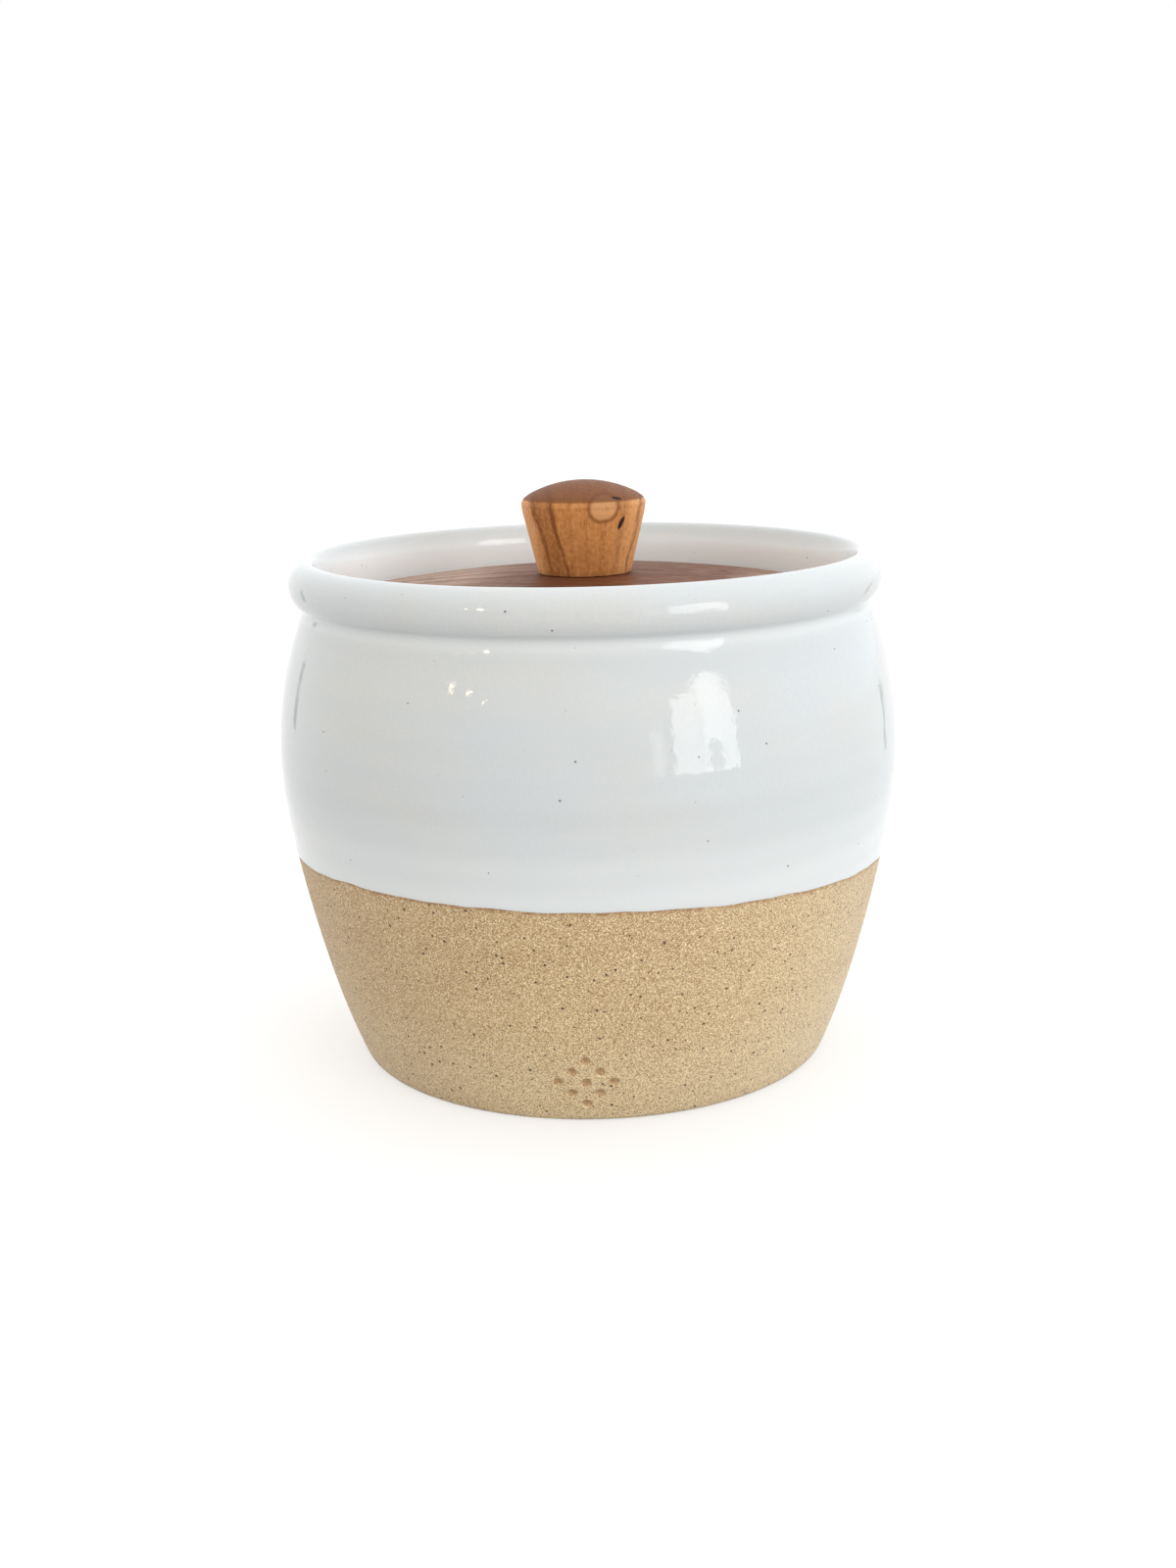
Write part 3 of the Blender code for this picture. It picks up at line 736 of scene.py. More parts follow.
def make_knob_finish(settings):
    """Pale oiled wood: rings that close in with the taper, dark bands, a knot, a crack and a split."""
    material, nodes, shader = new_material("light_wood_finish")
    place = nodes.place()
    grain_place = nodes.add("ShaderNodeAttribute", attribute_name="grain")["Vector"]
    log = nodes.add("ShaderNodeMapping", {"Vector": grain_place, "Location": (0.0, 0.034, 0.012)})[0]
    wood = {"Vector": log, "Ring width": settings.ring_width, "Waver": 0.0030}
    late, fibres, pores = nodes.group("Wood grain", wood)
    wander = nodes.mottle(place, size=0.010)
    across = nodes.plus(nodes.split(grain_place)[1], nodes.ramp(wander, 0.0, 1.0, -0.0005, 0.0005))
    rise = nodes.value("rise")
    mottle = nodes.mottle(place, size=0.0012, detail=3.0, contrast=1.2)
    front = nodes.ramp(nodes.split(place)[1], -0.004, -0.008)
    heart = nodes.plus(oval(nodes, place, *KNOT), nodes.ramp(wander, 0.0, 1.0, -0.12, 0.12))
    crack, split = (
        nodes.times(nodes.ramp(oval(nodes, place, *mark), 1.0, 0.6), front) for mark in (CRACK, SPLIT)
    )
    colour = nodes.paint(
        settings.body,
        (late, 0.22, settings.late),
        (nodes.ramp(rise, 0.9, 0.0), 0.20, settings.late),
        (nodes.ramp(across, 0.007, 0.017), 0.48, settings.pale),
        (nodes.ramp(across, -0.0140, -0.0175), 0.85, settings.pale),
        *((grain_band(nodes, across, rise, *band), share, settings.late) for *band, share in KNOB_BANDS),
        (nodes.ramp(fibres, 0.40, 0.0), 0.14, settings.late),
        (nodes.ramp(fibres, 0.60, 1.0), 0.14, settings.pale),
        (nodes.ramp(mottle, 0.5, 0.0), 0.22, settings.late),
        (nodes.ramp(mottle, 0.5, 1.0), 0.18, settings.pale),
        (nodes.times(nodes.ramp(heart, 1.36, 1.08), front), 0.75, settings.late),
        (nodes.times(nodes.ramp(heart, 1.08, 0.78), front), 0.85, settings.knot),
        (crack, 1.0, settings.crack),
        (nodes.value("top"), 0.88, settings.worn),
        (nodes.wear(place), 0.30, settings.worn),
        (split, 1.0, settings.crack),
        (pores, 0.5, settings.late),
    )
    relief = nodes.minus(fibres, nodes.times(nodes.larger(crack, split), 6.0))
    nodes.fill(shader, {
        "Base Color": colour,
        "Roughness": nodes.ramp(fibres, 0.0, 1.0, settings.roughness * 1.15, settings.roughness * 0.85),
        "Normal": nodes.bump(relief, 0.00005),
        "Specular IOR Level": 0.2,
    })
    return material


def make_steel_finish():
    """Brushed stainless steel with fine rings from the lathe."""
    material, nodes, shader = new_material("stainless_steel_finish")
    place = nodes.place()
    rings = nodes.noise(nodes.stretch(place, (300.0, 300.0, 9000.0)), 1.0)
    nodes.fill(shader, {
        "Base Color": nodes.mix(nodes.mottle(place, size=0.003), tone(*BRIGHT_STEEL), tone(*DULL_STEEL)),
        "Roughness": nodes.ramp(rings, 0.2, 0.8, 0.24, 0.42),
        "Normal": nodes.bump(rings, 0.00001),
        "Metallic": 1.0,
    })
    return material


# Geometry node trees


def new_form(name, sockets):
    """A geometry node group that gives one piece in its finish."""
    return new_group(name, "GeometryNodeTree", {**sockets, "Finish": FINISH}, {"Piece": SHAPE})


def end_form(nodes, shape, given, result):
    """Ends a form in real faces with their material."""
    real = nodes.add("GeometryNodeRealizeInstances", {0: shape})[0]
    nodes.fill(result, {0: nodes.add("GeometryNodeSetMaterial", {0: real, 2: given["Finish"]})[0]})


def cut_away(nodes, body, tool):
    """A body without the space that a tool takes up."""
    options = {"operation": "DIFFERENCE", "solver": "MANIFOLD"}
    return nodes.add("GeometryNodeMeshBoolean", {"Mesh 1": body, "Mesh 2": tool}, **options)[0]


def make_turned_form():
    """Spins the points of an outline round the Z axis, and keeps each point's row."""
    nodes, given, result = new_form("Turned form", {"Outline": SHAPE, "Facets": COUNT})
    rows = nodes.add("GeometryNodeAttributeDomainSize", {0: given["Outline"]})["Point Count"]
    columns = nodes.count("ADD", given["Facets"], 1)
    grid = nodes.add("GeometryNodeMeshGrid", {"Vertices X": rows, "Vertices Y": columns})["Mesh"]
    index = nodes.add("GeometryNodeInputIndex")[0]
    row = nodes.count("DIVIDE_FLOOR", index, columns)
    share = nodes.over(nodes.count("MODULO", index, columns), given["Facets"])
    angle = nodes.times(share, FULL_TURN)
    sample = {0: given["Outline"], 1: nodes.add("GeometryNodeInputPosition")[0], 2: row}
    sampled = nodes.add("GeometryNodeSampleIndex", sample, data_type="FLOAT_VECTOR")[0]
    radius, _, height = nodes.split(sampled)
    x, y = (nodes.times(radius, nodes.calculate(wave, angle)) for wave in ("COSINE", "SINE"))
    place = nodes.add("ShaderNodeCombineXYZ", {0: x, 1: y, 2: height})[0]
    named = {"Geometry": grid, "Name": "row", "Value": row}
    shape = nodes.add("GeometryNodeStoreNamedAttribute", named, data_type="INT")[0]
    shape = nodes.add("GeometryNodeSetPosition", {"Geometry": shape, "Position": place})[0]
    shape = nodes.add("GeometryNodeMergeByDistance", {"Geometry": shape, "Distance": SAME_PLACE})[0]
    end_form(nodes, shape, given, result)


def make_dots_form():
    """Presses a diamond of round dots into the wall nearest to a place."""
    nodes, given, result = new_form("Pressed dots", {
        "Body": SHAPE, "Across": COUNT, "Spacing": NUMBER, "Ball radius": NUMBER,
        "Depth": NUMBER, "Place": VECTOR, "Turn": VECTOR,
    })
    across, radius = given["Across"], given["Ball radius"]
    width = nodes.times(nodes.minus(across, 1.0), given["Spacing"])
    sizes = {"Size X": width, "Size Y": width, "Vertices X": across, "Vertices Y": across}
    grid = nodes.add("GeometryNodeMeshGrid", sizes)["Mesh"]
    laid = {"Geometry": grid, "Translation": given["Place"], "Rotation": given["Turn"]}
    laid = nodes.add("GeometryNodeTransform", laid)[0]
    wall, normal = (
        nodes.add(
            "GeometryNodeSampleNearestSurface", {0: given["Body"], 1: nodes.add(field)[0]},
            data_type="FLOAT_VECTOR",
        )[0]
        for field in ("GeometryNodeInputPosition", "GeometryNodeInputNormal")
    )
    offset = nodes.scale(normal, nodes.minus(radius, given["Depth"]))
    points = {"Geometry": laid, "Position": wall, "Offset": offset}
    points = nodes.add("GeometryNodeSetPosition", points)[0]
    ball = nodes.add("GeometryNodeMeshUVSphere", {"Segments": 28, "Rings": 20, "Radius": radius})[0]
    balls = nodes.add("GeometryNodeInstanceOnPoints", {"Points": points, "Instance": ball})[0]
    balls = nodes.add("GeometryNodeRealizeInstances", {0: balls})[0]
    end_form(nodes, cut_away(nodes, given["Body"], balls), given, result)


def make_drive_form():
    """Cuts a cross recess, narrower at its bottom, into the low end of a screw."""
    sockets = {"Body": SHAPE, "Length": NUMBER, "Width": NUMBER, "Depth": NUMBER, "Height": NUMBER}
    nodes, given, result = new_form("Cross drive", sockets)
    radius = nodes.times(given["Length"], math.sqrt(0.5))
    blade = {
        "Vertices": 4, "Radius Top": nodes.times(radius, 0.55), "Radius Bottom": radius,
        "Depth": nodes.times(given["Depth"], 2.0),
    }
    shape = nodes.add("GeometryNodeMeshCone", blade)["Mesh"]
    down = nodes.add("ShaderNodeCombineXYZ", {2: nodes.minus(given["Height"], given["Depth"])})[0]
    thin = {0: 1.0, 1: nodes.over(given["Width"], given["Length"]), 2: 1.0}
    thin = nodes.add("ShaderNodeCombineXYZ", thin)[0]
    cut = given["Body"]
    for moved, cuts in (
        ({"Rotation": (0.0, 0.0, math.pi / 4)}, False),
        ({"Translation": down, "Scale": thin}, True),
        ({"Rotation": (0.0, 0.0, math.pi / 2)}, True),
    ):
        shape = nodes.add("GeometryNodeTransform", {"Geometry": shape, **moved})[0]
        cut = cut_away(nodes, cut, shape) if cuts else cut
    end_form(nodes, cut, given, result)


def make_grog_form():
    """Scatters small rough grains over a surface where its 'bare' value is set, half sunk in it."""
    sockets = {"Body": SHAPE, "Density": NUMBER, "Radius": NUMBER, "Sunk": NUMBER, "Seed": COUNT}
    nodes, given, result = new_form("Grog", sockets)
    radius, seed = given["Radius"], given["Seed"]
    bare = nodes.add("GeometryNodeInputNamedAttribute", {"Name": "bare"}, data_type="FLOAT")[0]
    spread = {0: given["Body"], "Seed": seed, "Density": nodes.times(bare, given["Density"])}
    spread = nodes.add("GeometryNodeDistributePointsOnFaces", spread)
    sunk = nodes.times(nodes.times(radius, given["Sunk"]), -1.0)
    points = {"Geometry": spread[0], "Offset": nodes.scale(spread["Normal"], sunk)}
    points = nodes.add("GeometryNodeSetPosition", points)[0]
    grain = nodes.add("GeometryNodeMeshIcoSphere", {"Radius": radius, "Subdivisions": 1})[0]
    turn, size = (
        nodes.add(
            "FunctionNodeRandomValue", {0: (low,) * 3, 1: (high,) * 3, "Seed": seed},
            data_type="FLOAT_VECTOR",
        )[0]
        for low, high in ((0.0, FULL_TURN), (0.35, 1.0))
    )
    grains = {"Points": points, "Instance": grain, "Rotation": turn, "Scale": size}
    end_form(nodes, nodes.add("GeometryNodeInstanceOnPoints", grains)[0], given, result)


def run_form(name, mesh, inputs):
    """Runs a form on a mesh and returns the plain mesh that it makes. The old mesh is still there."""
    tree = bpy.data.node_groups[name]
    host = bpy.data.objects.new("host", mesh)
    bpy.context.scene.collection.objects.link(host)
    modifier = host.modifiers.new(name, "NODES")
    modifier.node_group = tree
    for item in tree.interface.items_tree:
        if item.name in inputs:
            modifier[item.identifier] = inputs[item.name]
    depsgraph = bpy.context.evaluated_depsgraph_get()
    made = bpy.data.meshes.new_from_object(
        host.evaluated_get(depsgraph), preserve_all_data_layers=True, depsgraph=depsgraph
    )
    host.modifiers.clear()
    bpy.data.objects.remove(host)
    if not made.polygons:
        raise RuntimeError(f"the form {name} made no faces")
    return made


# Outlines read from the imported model


def smooth_run(points):
    """A fine curve through every point of one smooth stretch, by the centripetal Catmull-Rom rule."""
    if len(points) == 2:
        return points
    padded = np.vstack([2 * points[0] - points[1], points, 2 * points[-1] - points[-2]])
    knots = np.cumsum([0.0, *np.sqrt(np.linalg.norm(np.diff(padded, axis=0), axis=1))])
    pieces = []
    for index in range(1, len(padded) - 2):
        near, times = padded[index - 1:index + 3], knots[index - 1:index + 3]
        steps = max(2, math.ceil(np.linalg.norm(near[2] - near[1]) / CURVE_STEP))
        t = np.linspace(times[1], times[2], steps, endpoint=False)[:, None]
        for reach in (1, 2, 3):
            # Each round mixes neighbours over a wider stretch, and the last one over the middle alone
            first, last = (times[:-reach], times[reach:]) if reach < 3 else (times[1:2], times[2:3])
            spans = zip(first, last, near, near[1:])
            near = [((b - t) * p + (t - a) * q) / (b - a) for a, b, p, q in spans]
        pieces.append(near[0])
    return np.vstack([*pieces, points[-1:]])


def packed_outline(node):
    """The (radius, height) points of a turned node, in order, with the solid on their left."""
    shape = bmesh.new()
    shape.from_mesh(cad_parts[node].data)
    bmesh.ops.remove_doubles(shape, verts=shape.verts, dist=SAME_PLACE)
    in_plane = {vert for vert in shape.verts if abs(vert.co.y) < SAME_PLACE and vert.co.x > -SAME_PLACE}
    neighbours = {
        vert: [edge.other_vert(vert) for edge in vert.link_edges if edge.other_vert(vert) in in_plane]
        for vert in in_plane
    }
    ends = [vert for vert in in_plane if len(neighbours[vert]) == 1]
    walked = [min(ends or in_plane, key=lambda vert: (vert.co.z, vert.co.x))]
    while onwards := [vert for vert in neighbours[walked[-1]] if vert not in walked]:
        walked.append(onwards[0])
    points = np.array([(vert.co.x, vert.co.z) for vert in walked])
    shape.free()
    if ends:
        points = np.vstack([(0.0, points[0][1]), points, (0.0, points[-1][1])])
        points = points[np.r_[True, np.linalg.norm(np.diff(points, axis=0), axis=1) > SAME_PLACE]]
    else:
        points = np.vstack([points, points[:1]])
    r, z = points.T
    area = np.sum(r * np.roll(z, -1) - np.roll(r, -1) * z)
    return points if area > 0 else points[::-1]


class Outline:
    """A smooth (radius, height) outline that can be read at any distance along it."""

    def __init__(self, node):
        points = packed_outline(node)
        steps = np.diff(points, axis=0)
        lengths = np.linalg.norm(steps, axis=1)
        headings = np.unwrap(np.arctan2(steps[:, 1], steps[:, 0]))
        sharp = np.abs(np.diff(headings)) > SHARP_TURN
        corner = [True, *(sharp & (np.minimum(lengths[1:], lengths[:-1]) > CORNER_SIDE)), True]
        dense, breaks = [], []
        for index, point in enumerate(points):
            if corner[index]:
                breaks.append(len(dense))
            dense.append(point)
            if index < len(steps) and lengths[index] > STRAIGHT_SIDE:
                inset = steps[index] * STRAIGHT_END / lengths[index]
                dense += [point + inset, points[index + 1] - inset]
        dense = np.array(dense)
        self.runs = [smooth_run(dense[a:b + 1]) for a, b in zip(breaks, breaks[1:])]
        self.points = np.vstack([*(run[:-1] for run in self.runs), self.runs[-1][-1:]])
        self.along = np.cumsum([0.0, *np.linalg.norm(np.diff(self.points, axis=0), axis=1)])
        heading = np.gradient(self.points, axis=0)
        heading /= np.linalg.norm(heading, axis=1)[:, None]
        self.normals = np.column_stack([heading[:, 1], -heading[:, 0]])

    def at(self, along, out=0.0):
        """Radius and height at distances along, moved straight out of the solid."""
        columns = (*self.points.T, *self.normals.T)
        radius, height, normal_r, normal_z = (np.interp(along, self.along, column) for column in columns)
        return radius + normal_r * out, height + normal_z * out

    def rows(self, longest, sharpest):
        """Distances along for rows of faces: never over a length apart, closer in tight curves."""
        found = [0.0]
        start = 0.0
        for run in self.runs:
            step = np.linalg.norm(np.diff(run, axis=0), axis=1)
            heading = np.unwrap(np.arctan2(*np.diff(run, axis=0).T[::-1]))
            turn = np.abs(np.diff(heading, prepend=heading[:1]))
            limit = longest((run[1:] + run[:-1]) / 2) if callable(longest) else longest
            count = np.cumsum([0.0, *(step / limit + turn / math.radians(sharpest))])
            total = max(1, math.ceil(count[-1]))
            along = start + np.cumsum([0.0, *step])
            found.extend(np.interp(np.arange(1, total + 1) * count[-1] / total, count, along))
            start = along[-1]
        return np.array(found)

    def bend(self, along, reach):
        """How strongly the outline bulges at distances along, 1 at a radius of reach."""
        heading = np.unwrap(np.arctan2(self.normals[:, 1], self.normals[:, 0]))
        ahead, behind = (np.interp(along + side * reach, self.along, heading) for side in (1, -1))
        return (ahead - behind) / 2

    def edge_wear(self, along, reach):
        """The outline's bulges, from 0 to 1."""
        return np.clip(self.bend(along, reach), 0.0, 1.0)

    def hollow(self, along, reach):
        """The outline's hollows, from 0 to 1."""
        return np.clip(-self.bend(along, reach), 0.0, 1.0)


def ripple(angle, orders, seed):
    """A wave that closes on itself round the axis, from about -1 to 1."""
    phases = np.random.default_rng(seed).uniform(0, FULL_TURN, len(orders))
    waves = [np.cos(order * angle + phase) / math.sqrt(order) for order, phase in zip(orders, phases)]
    return sum(waves) / sum(1 / math.sqrt(order) for order in orders)


def smooth_step(value, low, high):
    """0 below low, 1 above high, and soft between."""
    share = np.clip((value - low) / (high - low), 0.0, 1.0)
    return share * share * (3 - 2 * share)


def heading(turn, rise):
    """A direction by its turn to the right of +Y and its rise."""
    return Vector((math.sin(turn) * math.cos(rise), math.cos(turn) * math.cos(rise), math.sin(rise)))


# Meshes and pieces


def vertex_places(mesh):
    """Places of a mesh's vertices as rows of x, y and z."""
    places = np.zeros(len(mesh.vertices) * 3, np.float32)
    mesh.vertices.foreach_get("co", places)
    return places.reshape(-1, 3).astype(float)


def turned_mesh(radius, height, facets, finish):
    """A turned mesh with the row of each of its vertices and their turn round the axis."""
    points = bpy.data.meshes.new("outline")
    points.from_pydata([(r, 0.0, z) for r, z in zip(radius, height)], [], [])
    mesh = run_form("Turned form", points, {"Facets": facets, "Finish": finish})
    bpy.data.meshes.remove(points)
    row = np.zeros(len(mesh.vertices), np.int32)
    mesh.attributes["row"].data.foreach_get("value", row)
    mesh.attributes.remove(mesh.attributes["row"])
    x, y, _ = vertex_places(mesh).T
    return mesh, row, np.arctan2(y, x)


def place_vertices(mesh, radius, angle, height):
    """Moves a turned mesh's vertices to new radii and heights."""
    places = np.column_stack([radius * np.cos(angle), radius * np.sin(angle), height])
    mesh.vertices.foreach_set("co", places.astype(np.float32).ravel())
    mesh.update()


def keep_values(mesh, **values):
    """Keeps values for each vertex, for the finish to read."""
    for name, value in values.items():
        kind, key = ("FLOAT_VECTOR", "vector") if np.ndim(value) == 2 else ("FLOAT", "value")
        value = value if np.ndim(value) else np.full(len(mesh.vertices), value)
        layer = mesh.attributes.new(name, kind, "POINT")
        layer.data.foreach_set(key, np.ravel(value).astype(np.float32))


def shade(mesh):
    """Shades a mesh smooth, apart from its creases."""
    mesh.shade_smooth()
    mesh.set_sharp_from_angle(angle=CREASE)


def face_outwards(mesh):
    """Points a closed mesh's faces outwards and shades it."""
    shape = bmesh.new()
    shape.from_mesh(mesh)
    bmesh.ops.recalc_face_normals(shape, faces=shape.faces)
    if shape.calc_volume(signed=True) < 0:
        bmesh.ops.reverse_faces(shape, faces=shape.faces)
    shape.to_mesh(mesh)
    shape.free()
    shade(mesh)


def add_piece(name, mesh, body, slot, *nodes):
    """Puts a finished mesh in the scene, riding on its body and standing for its nodes."""
    mesh.name = name
    piece = bpy.data.objects.new(name, mesh)
    bpy.context.scene.collection.objects.link(piece)
    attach(piece, body)
    if nodes:
        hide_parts(*nodes)
    return piece


class PotForm:
    """The pot's outline with the places along it that the clay and the glaze share."""

    def __init__(self, settings):
        self.settings = settings
        self.outline = Outline("crock_body")
        radius, height = self.outline.points.T
        along = self.outline.along
        self.crest = int(np.argmax(height))
        belly = int(np.argmax(radius))
        neck = belly + 1 + int(np.argmax(np.diff(radius[belly + 1:self.crest]) > 0))
        in_belly = height[self.crest:] < height[belly] * 1.2
        inner_belly = self.crest + int(np.argmax(np.where(in_belly, radius[self.crest:], 0.0)))
        mouth = self.crest + int(np.argmin(radius[self.crest:inner_belly]))
        self.mouth_height = height[mouth]
        self.foot_along = along[np.flatnonzero(height > SAME_PLACE)[0]]
        self.neck_along = along[neck]
        self.crest_along = along[self.crest]
        self.mouth_along = along[mouth]
        self.dip_along = self.along_at(settings.dip_height)

    def along_at(self, height):
        """Distance along the outside at a height."""
        outside = slice(0, self.crest)
        return np.interp(height, self.outline.points[outside, 1], self.outline.along[outside])

    def wall_radius(self, height):
        """Radius of the true outer wall at a height."""
        return self.outline.at(self.along_at(height))[0]

    def dip_height(self, angle):
        """Height of the dip line round the pot."""
        settings = self.settings
        tilt = settings.dip_tilt * np.cos(angle - settings.dip_tilt_towards)
        broad = ripple(angle, (2, 3, 5, 7), seed=3)
        fine = ripple(angle, (13, 22, 34, 47), seed=4)
        return settings.dip_height + tilt + settings.dip_wave * (0.8 * broad + 0.8 * fine)

    def follow_dip(self, along, angle):
        """Slides rows along the outside so that one of them lies on the dip line all round."""
        rise = smooth_step(along, self.foot_along, self.dip_along)
        fall = smooth_step(along, self.neck_along, self.dip_along)
        shift = self.along_at(self.dip_height(angle)) - self.dip_along
        return along + shift * np.where(along < self.dip_along, rise, fall)

    def unevenness(self, along, angle):
        """How far the thrown surface lies under the true one: rings, trimming lines and wobble."""
        settings, foot, crest = self.settings, self.foot_along, self.crest_along
        above_dip = smooth_step(along, self.dip_along, self.dip_along + DIP_FADE)
        outside = above_dip * smooth_step(along, self.neck_along, self.neck_along - NECK_FADE)
        inside = smooth_step(along, self.mouth_along + INSIDE_START, self.mouth_along + INSIDE_END)
        spiral = along / settings.ring_pitch * FULL_TURN - angle
        swing = 0.6 + 0.4 * np.cos(along / RING_SWING + ripple(angle, (1, 2), seed=8))
        rings = (0.5 - 0.5 * np.cos(spiral)) * swing
        depth = settings.ring_depth * outside + settings.inner_ring_depth * inside
        trimmed = smooth_step(along, foot, foot + TRIM_FADE) * (1 - above_dip)
        coarse, fine = (along / length for length in TRIM_SWINGS)
        lines = 0.5 + 0.25 * (np.cos(coarse) + np.cos(fine + 1.3))
        low_wave, high_wave = ripple(angle, (2, 3), seed=5), ripple(angle, (1, 2, 4), seed=6)
        slow = 0.5 + 0.25 * (low_wave + np.cos(along / WOBBLE_SWING) * high_wave)
        level = smooth_step(along, foot, foot + FOOT_FADE)
        seat = 1 - smooth_step(along, crest + SEAT_START, crest + SEAT_END) * (1 - inside)
        return rings * depth + lines * settings.trim_depth * trimmed + slow * settings.wobble * level * seat

    def surface(self, section, along, out, finish):
        """Spins a section and moves its rows to distances along and out of the uneven wall, slid to
        follow the dip line. Gives the mesh, and each vertex's row and place along the wall."""
        mesh, row, angle = turned_mesh(*section, self.settings.facets, finish)
        followed = self.follow_dip(along[row], angle)
        radius, height = self.outline.at(followed, out[row] - self.unevenness(followed, angle))
        place_vertices(mesh, np.maximum(radius, 0.0), angle, height)
        face_outwards(mesh)
        return mesh, row, followed

    def longest_row(self, bare, glazed, hidden):
        """Row spacing as a function of place: fine outside, coarser inside and under the base."""
        crest_height = self.outline.points[self.crest, 1]

        def limit(points):
            radius, height = points.T
            outside = (self.wall_radius(height) - radius < NEAR_WALL) & (height > NEAR_WALL)
            outer = np.where(height < self.settings.dip_height, bare, glazed)
            inner = np.where(height > self.mouth_height - UNDER_MOUTH, glazed * COARSER, hidden)
            return np.where(outside & (height < crest_height), outer, inner)

        return limit


class CROCK_OT_prepare(bpy.types.Operator):
    """Build the shader groups and the geometry node trees that the pieces share"""

    bl_idname = "crock.prepare"
    bl_label = "Prepare node groups"

    def execute(self, context):
        for make in (
            make_speck_group, make_mottle_group, make_wood_group, make_wear_group,
            make_turned_form, make_dots_form, make_drive_form, make_grog_form,
        ):
            make()
        return {"FINISHED"}


class CROCK_OT_throw_pot(bpy.types.Operator):
    """Throw the clay pot, press the dots into it and scatter the grains on its bare clay"""

    bl_idname = "crock.throw_pot"
    bl_label = "Throw the pot"

    def execute(self, context):
        crock = context.scene.crock
        settings = crock.pot
        form = PotForm(settings)
        foot, dip = form.foot_along, form.dip_along
        finish = make_clay_finish("bare_clay_finish", crock.clay)
        along = form.outline.rows(form.longest_row(bare=0.0009, glazed=0.004, hidden=0.007), sharpest=16)
        along = np.unique(np.append(along, dip + np.array(DIP_ROWS)))
        covered = smooth_step(along, dip + COVER_START, dip + COVER_END)
        inset = settings.clay_inset * smooth_step(along, foot, foot + INSET_FADE)
        depth = inset + (settings.glaze_thickness * COVERED_SHARE - inset) * covered
        mesh, _, _ = form.surface(form.outline.at(along), along, -depth, finish)
        pressed = self.press_dots(mesh, crock.dots, form, finish)
        bpy.data.meshes.remove(mesh)
        self.mark_places(pressed, crock, form)
        add_piece("crock_clay", pressed, "crock", "bare_clay", "crock_body")
        self.scatter(pressed, crock.grog, crock.clay)
        return {"FINISHED"}

    def press_dots(self, mesh, dots, form, finish):
        """Presses the diamond of dots; each is the cap of a ball sunk to its depth."""
        radius = form.wall_radius(dots.height)
        turn = Matrix.Rotation(dots.towards + math.pi / 2, 3, "Z") @ Matrix.Rotation(DIAMOND_LEAN, 3, "X")
        turn = turn @ Matrix.Rotation(DIAMOND_POINT, 3, "Z")
        pressed = run_form("Pressed dots", mesh, {
            "Across": dots.across, "Spacing": dots.spacing, "Depth": dots.depth,
            "Ball radius": float((dots.radius ** 2 + dots.depth ** 2) / (2 * dots.depth)),
            "Place": (radius * math.cos(dots.towards), radius * math.sin(dots.towards), dots.height),
            "Turn": tuple(turn.to_euler()), "Finish": finish,
        })
        shade(pressed)
        return pressed

    def mark_places(self, mesh, crock, form):
        """Distance under the dip line, depth in a dot, and where grains may stand."""
        x, y, z = vertex_places(mesh).T
        inwards = form.wall_radius(z) - np.hypot(x, y)
        outside = inwards < WALL_DEPTH
        below = form.dip_height(np.arctan2(y, x)) - z
        under = inwards - crock.pot.clay_inset - crock.pot.wobble
        bare = outside & (below > GRAIN_MARGIN) & (z > crock.grog.foot_margin) & (under < GRAIN_DEPTH)
        keep_values(
            mesh, below_dip=np.where(outside, np.maximum(below, 0.0), FAR_FROM_DIP), bare=bare.astype(float),
            sunk=np.clip(np.where(outside, under, 0.0) / crock.dots.depth, 0.0, 1.0),
        )

    def scatter(self, mesh, grog, clay):
        """Adds the pale and the iron grains as pieces of their own."""
        for name, density, radius, colours, shift in (
            ("pale_grog", grog.pale_density, grog.pale_radius, (clay.sand, clay.body), 0),
            ("iron_grog", grog.dark_density, grog.dark_radius, (clay.iron, clay.umber), 1),
        ):
            grains = run_form("Grog", mesh, {
                "Density": density, "Radius": radius, "Sunk": grog.sunk, "Seed": grog.seed + shift,
                "Finish": make_grain_finish(f"{name}_finish", *colours),
            })
            add_piece(name, grains, "crock", "bare_clay")


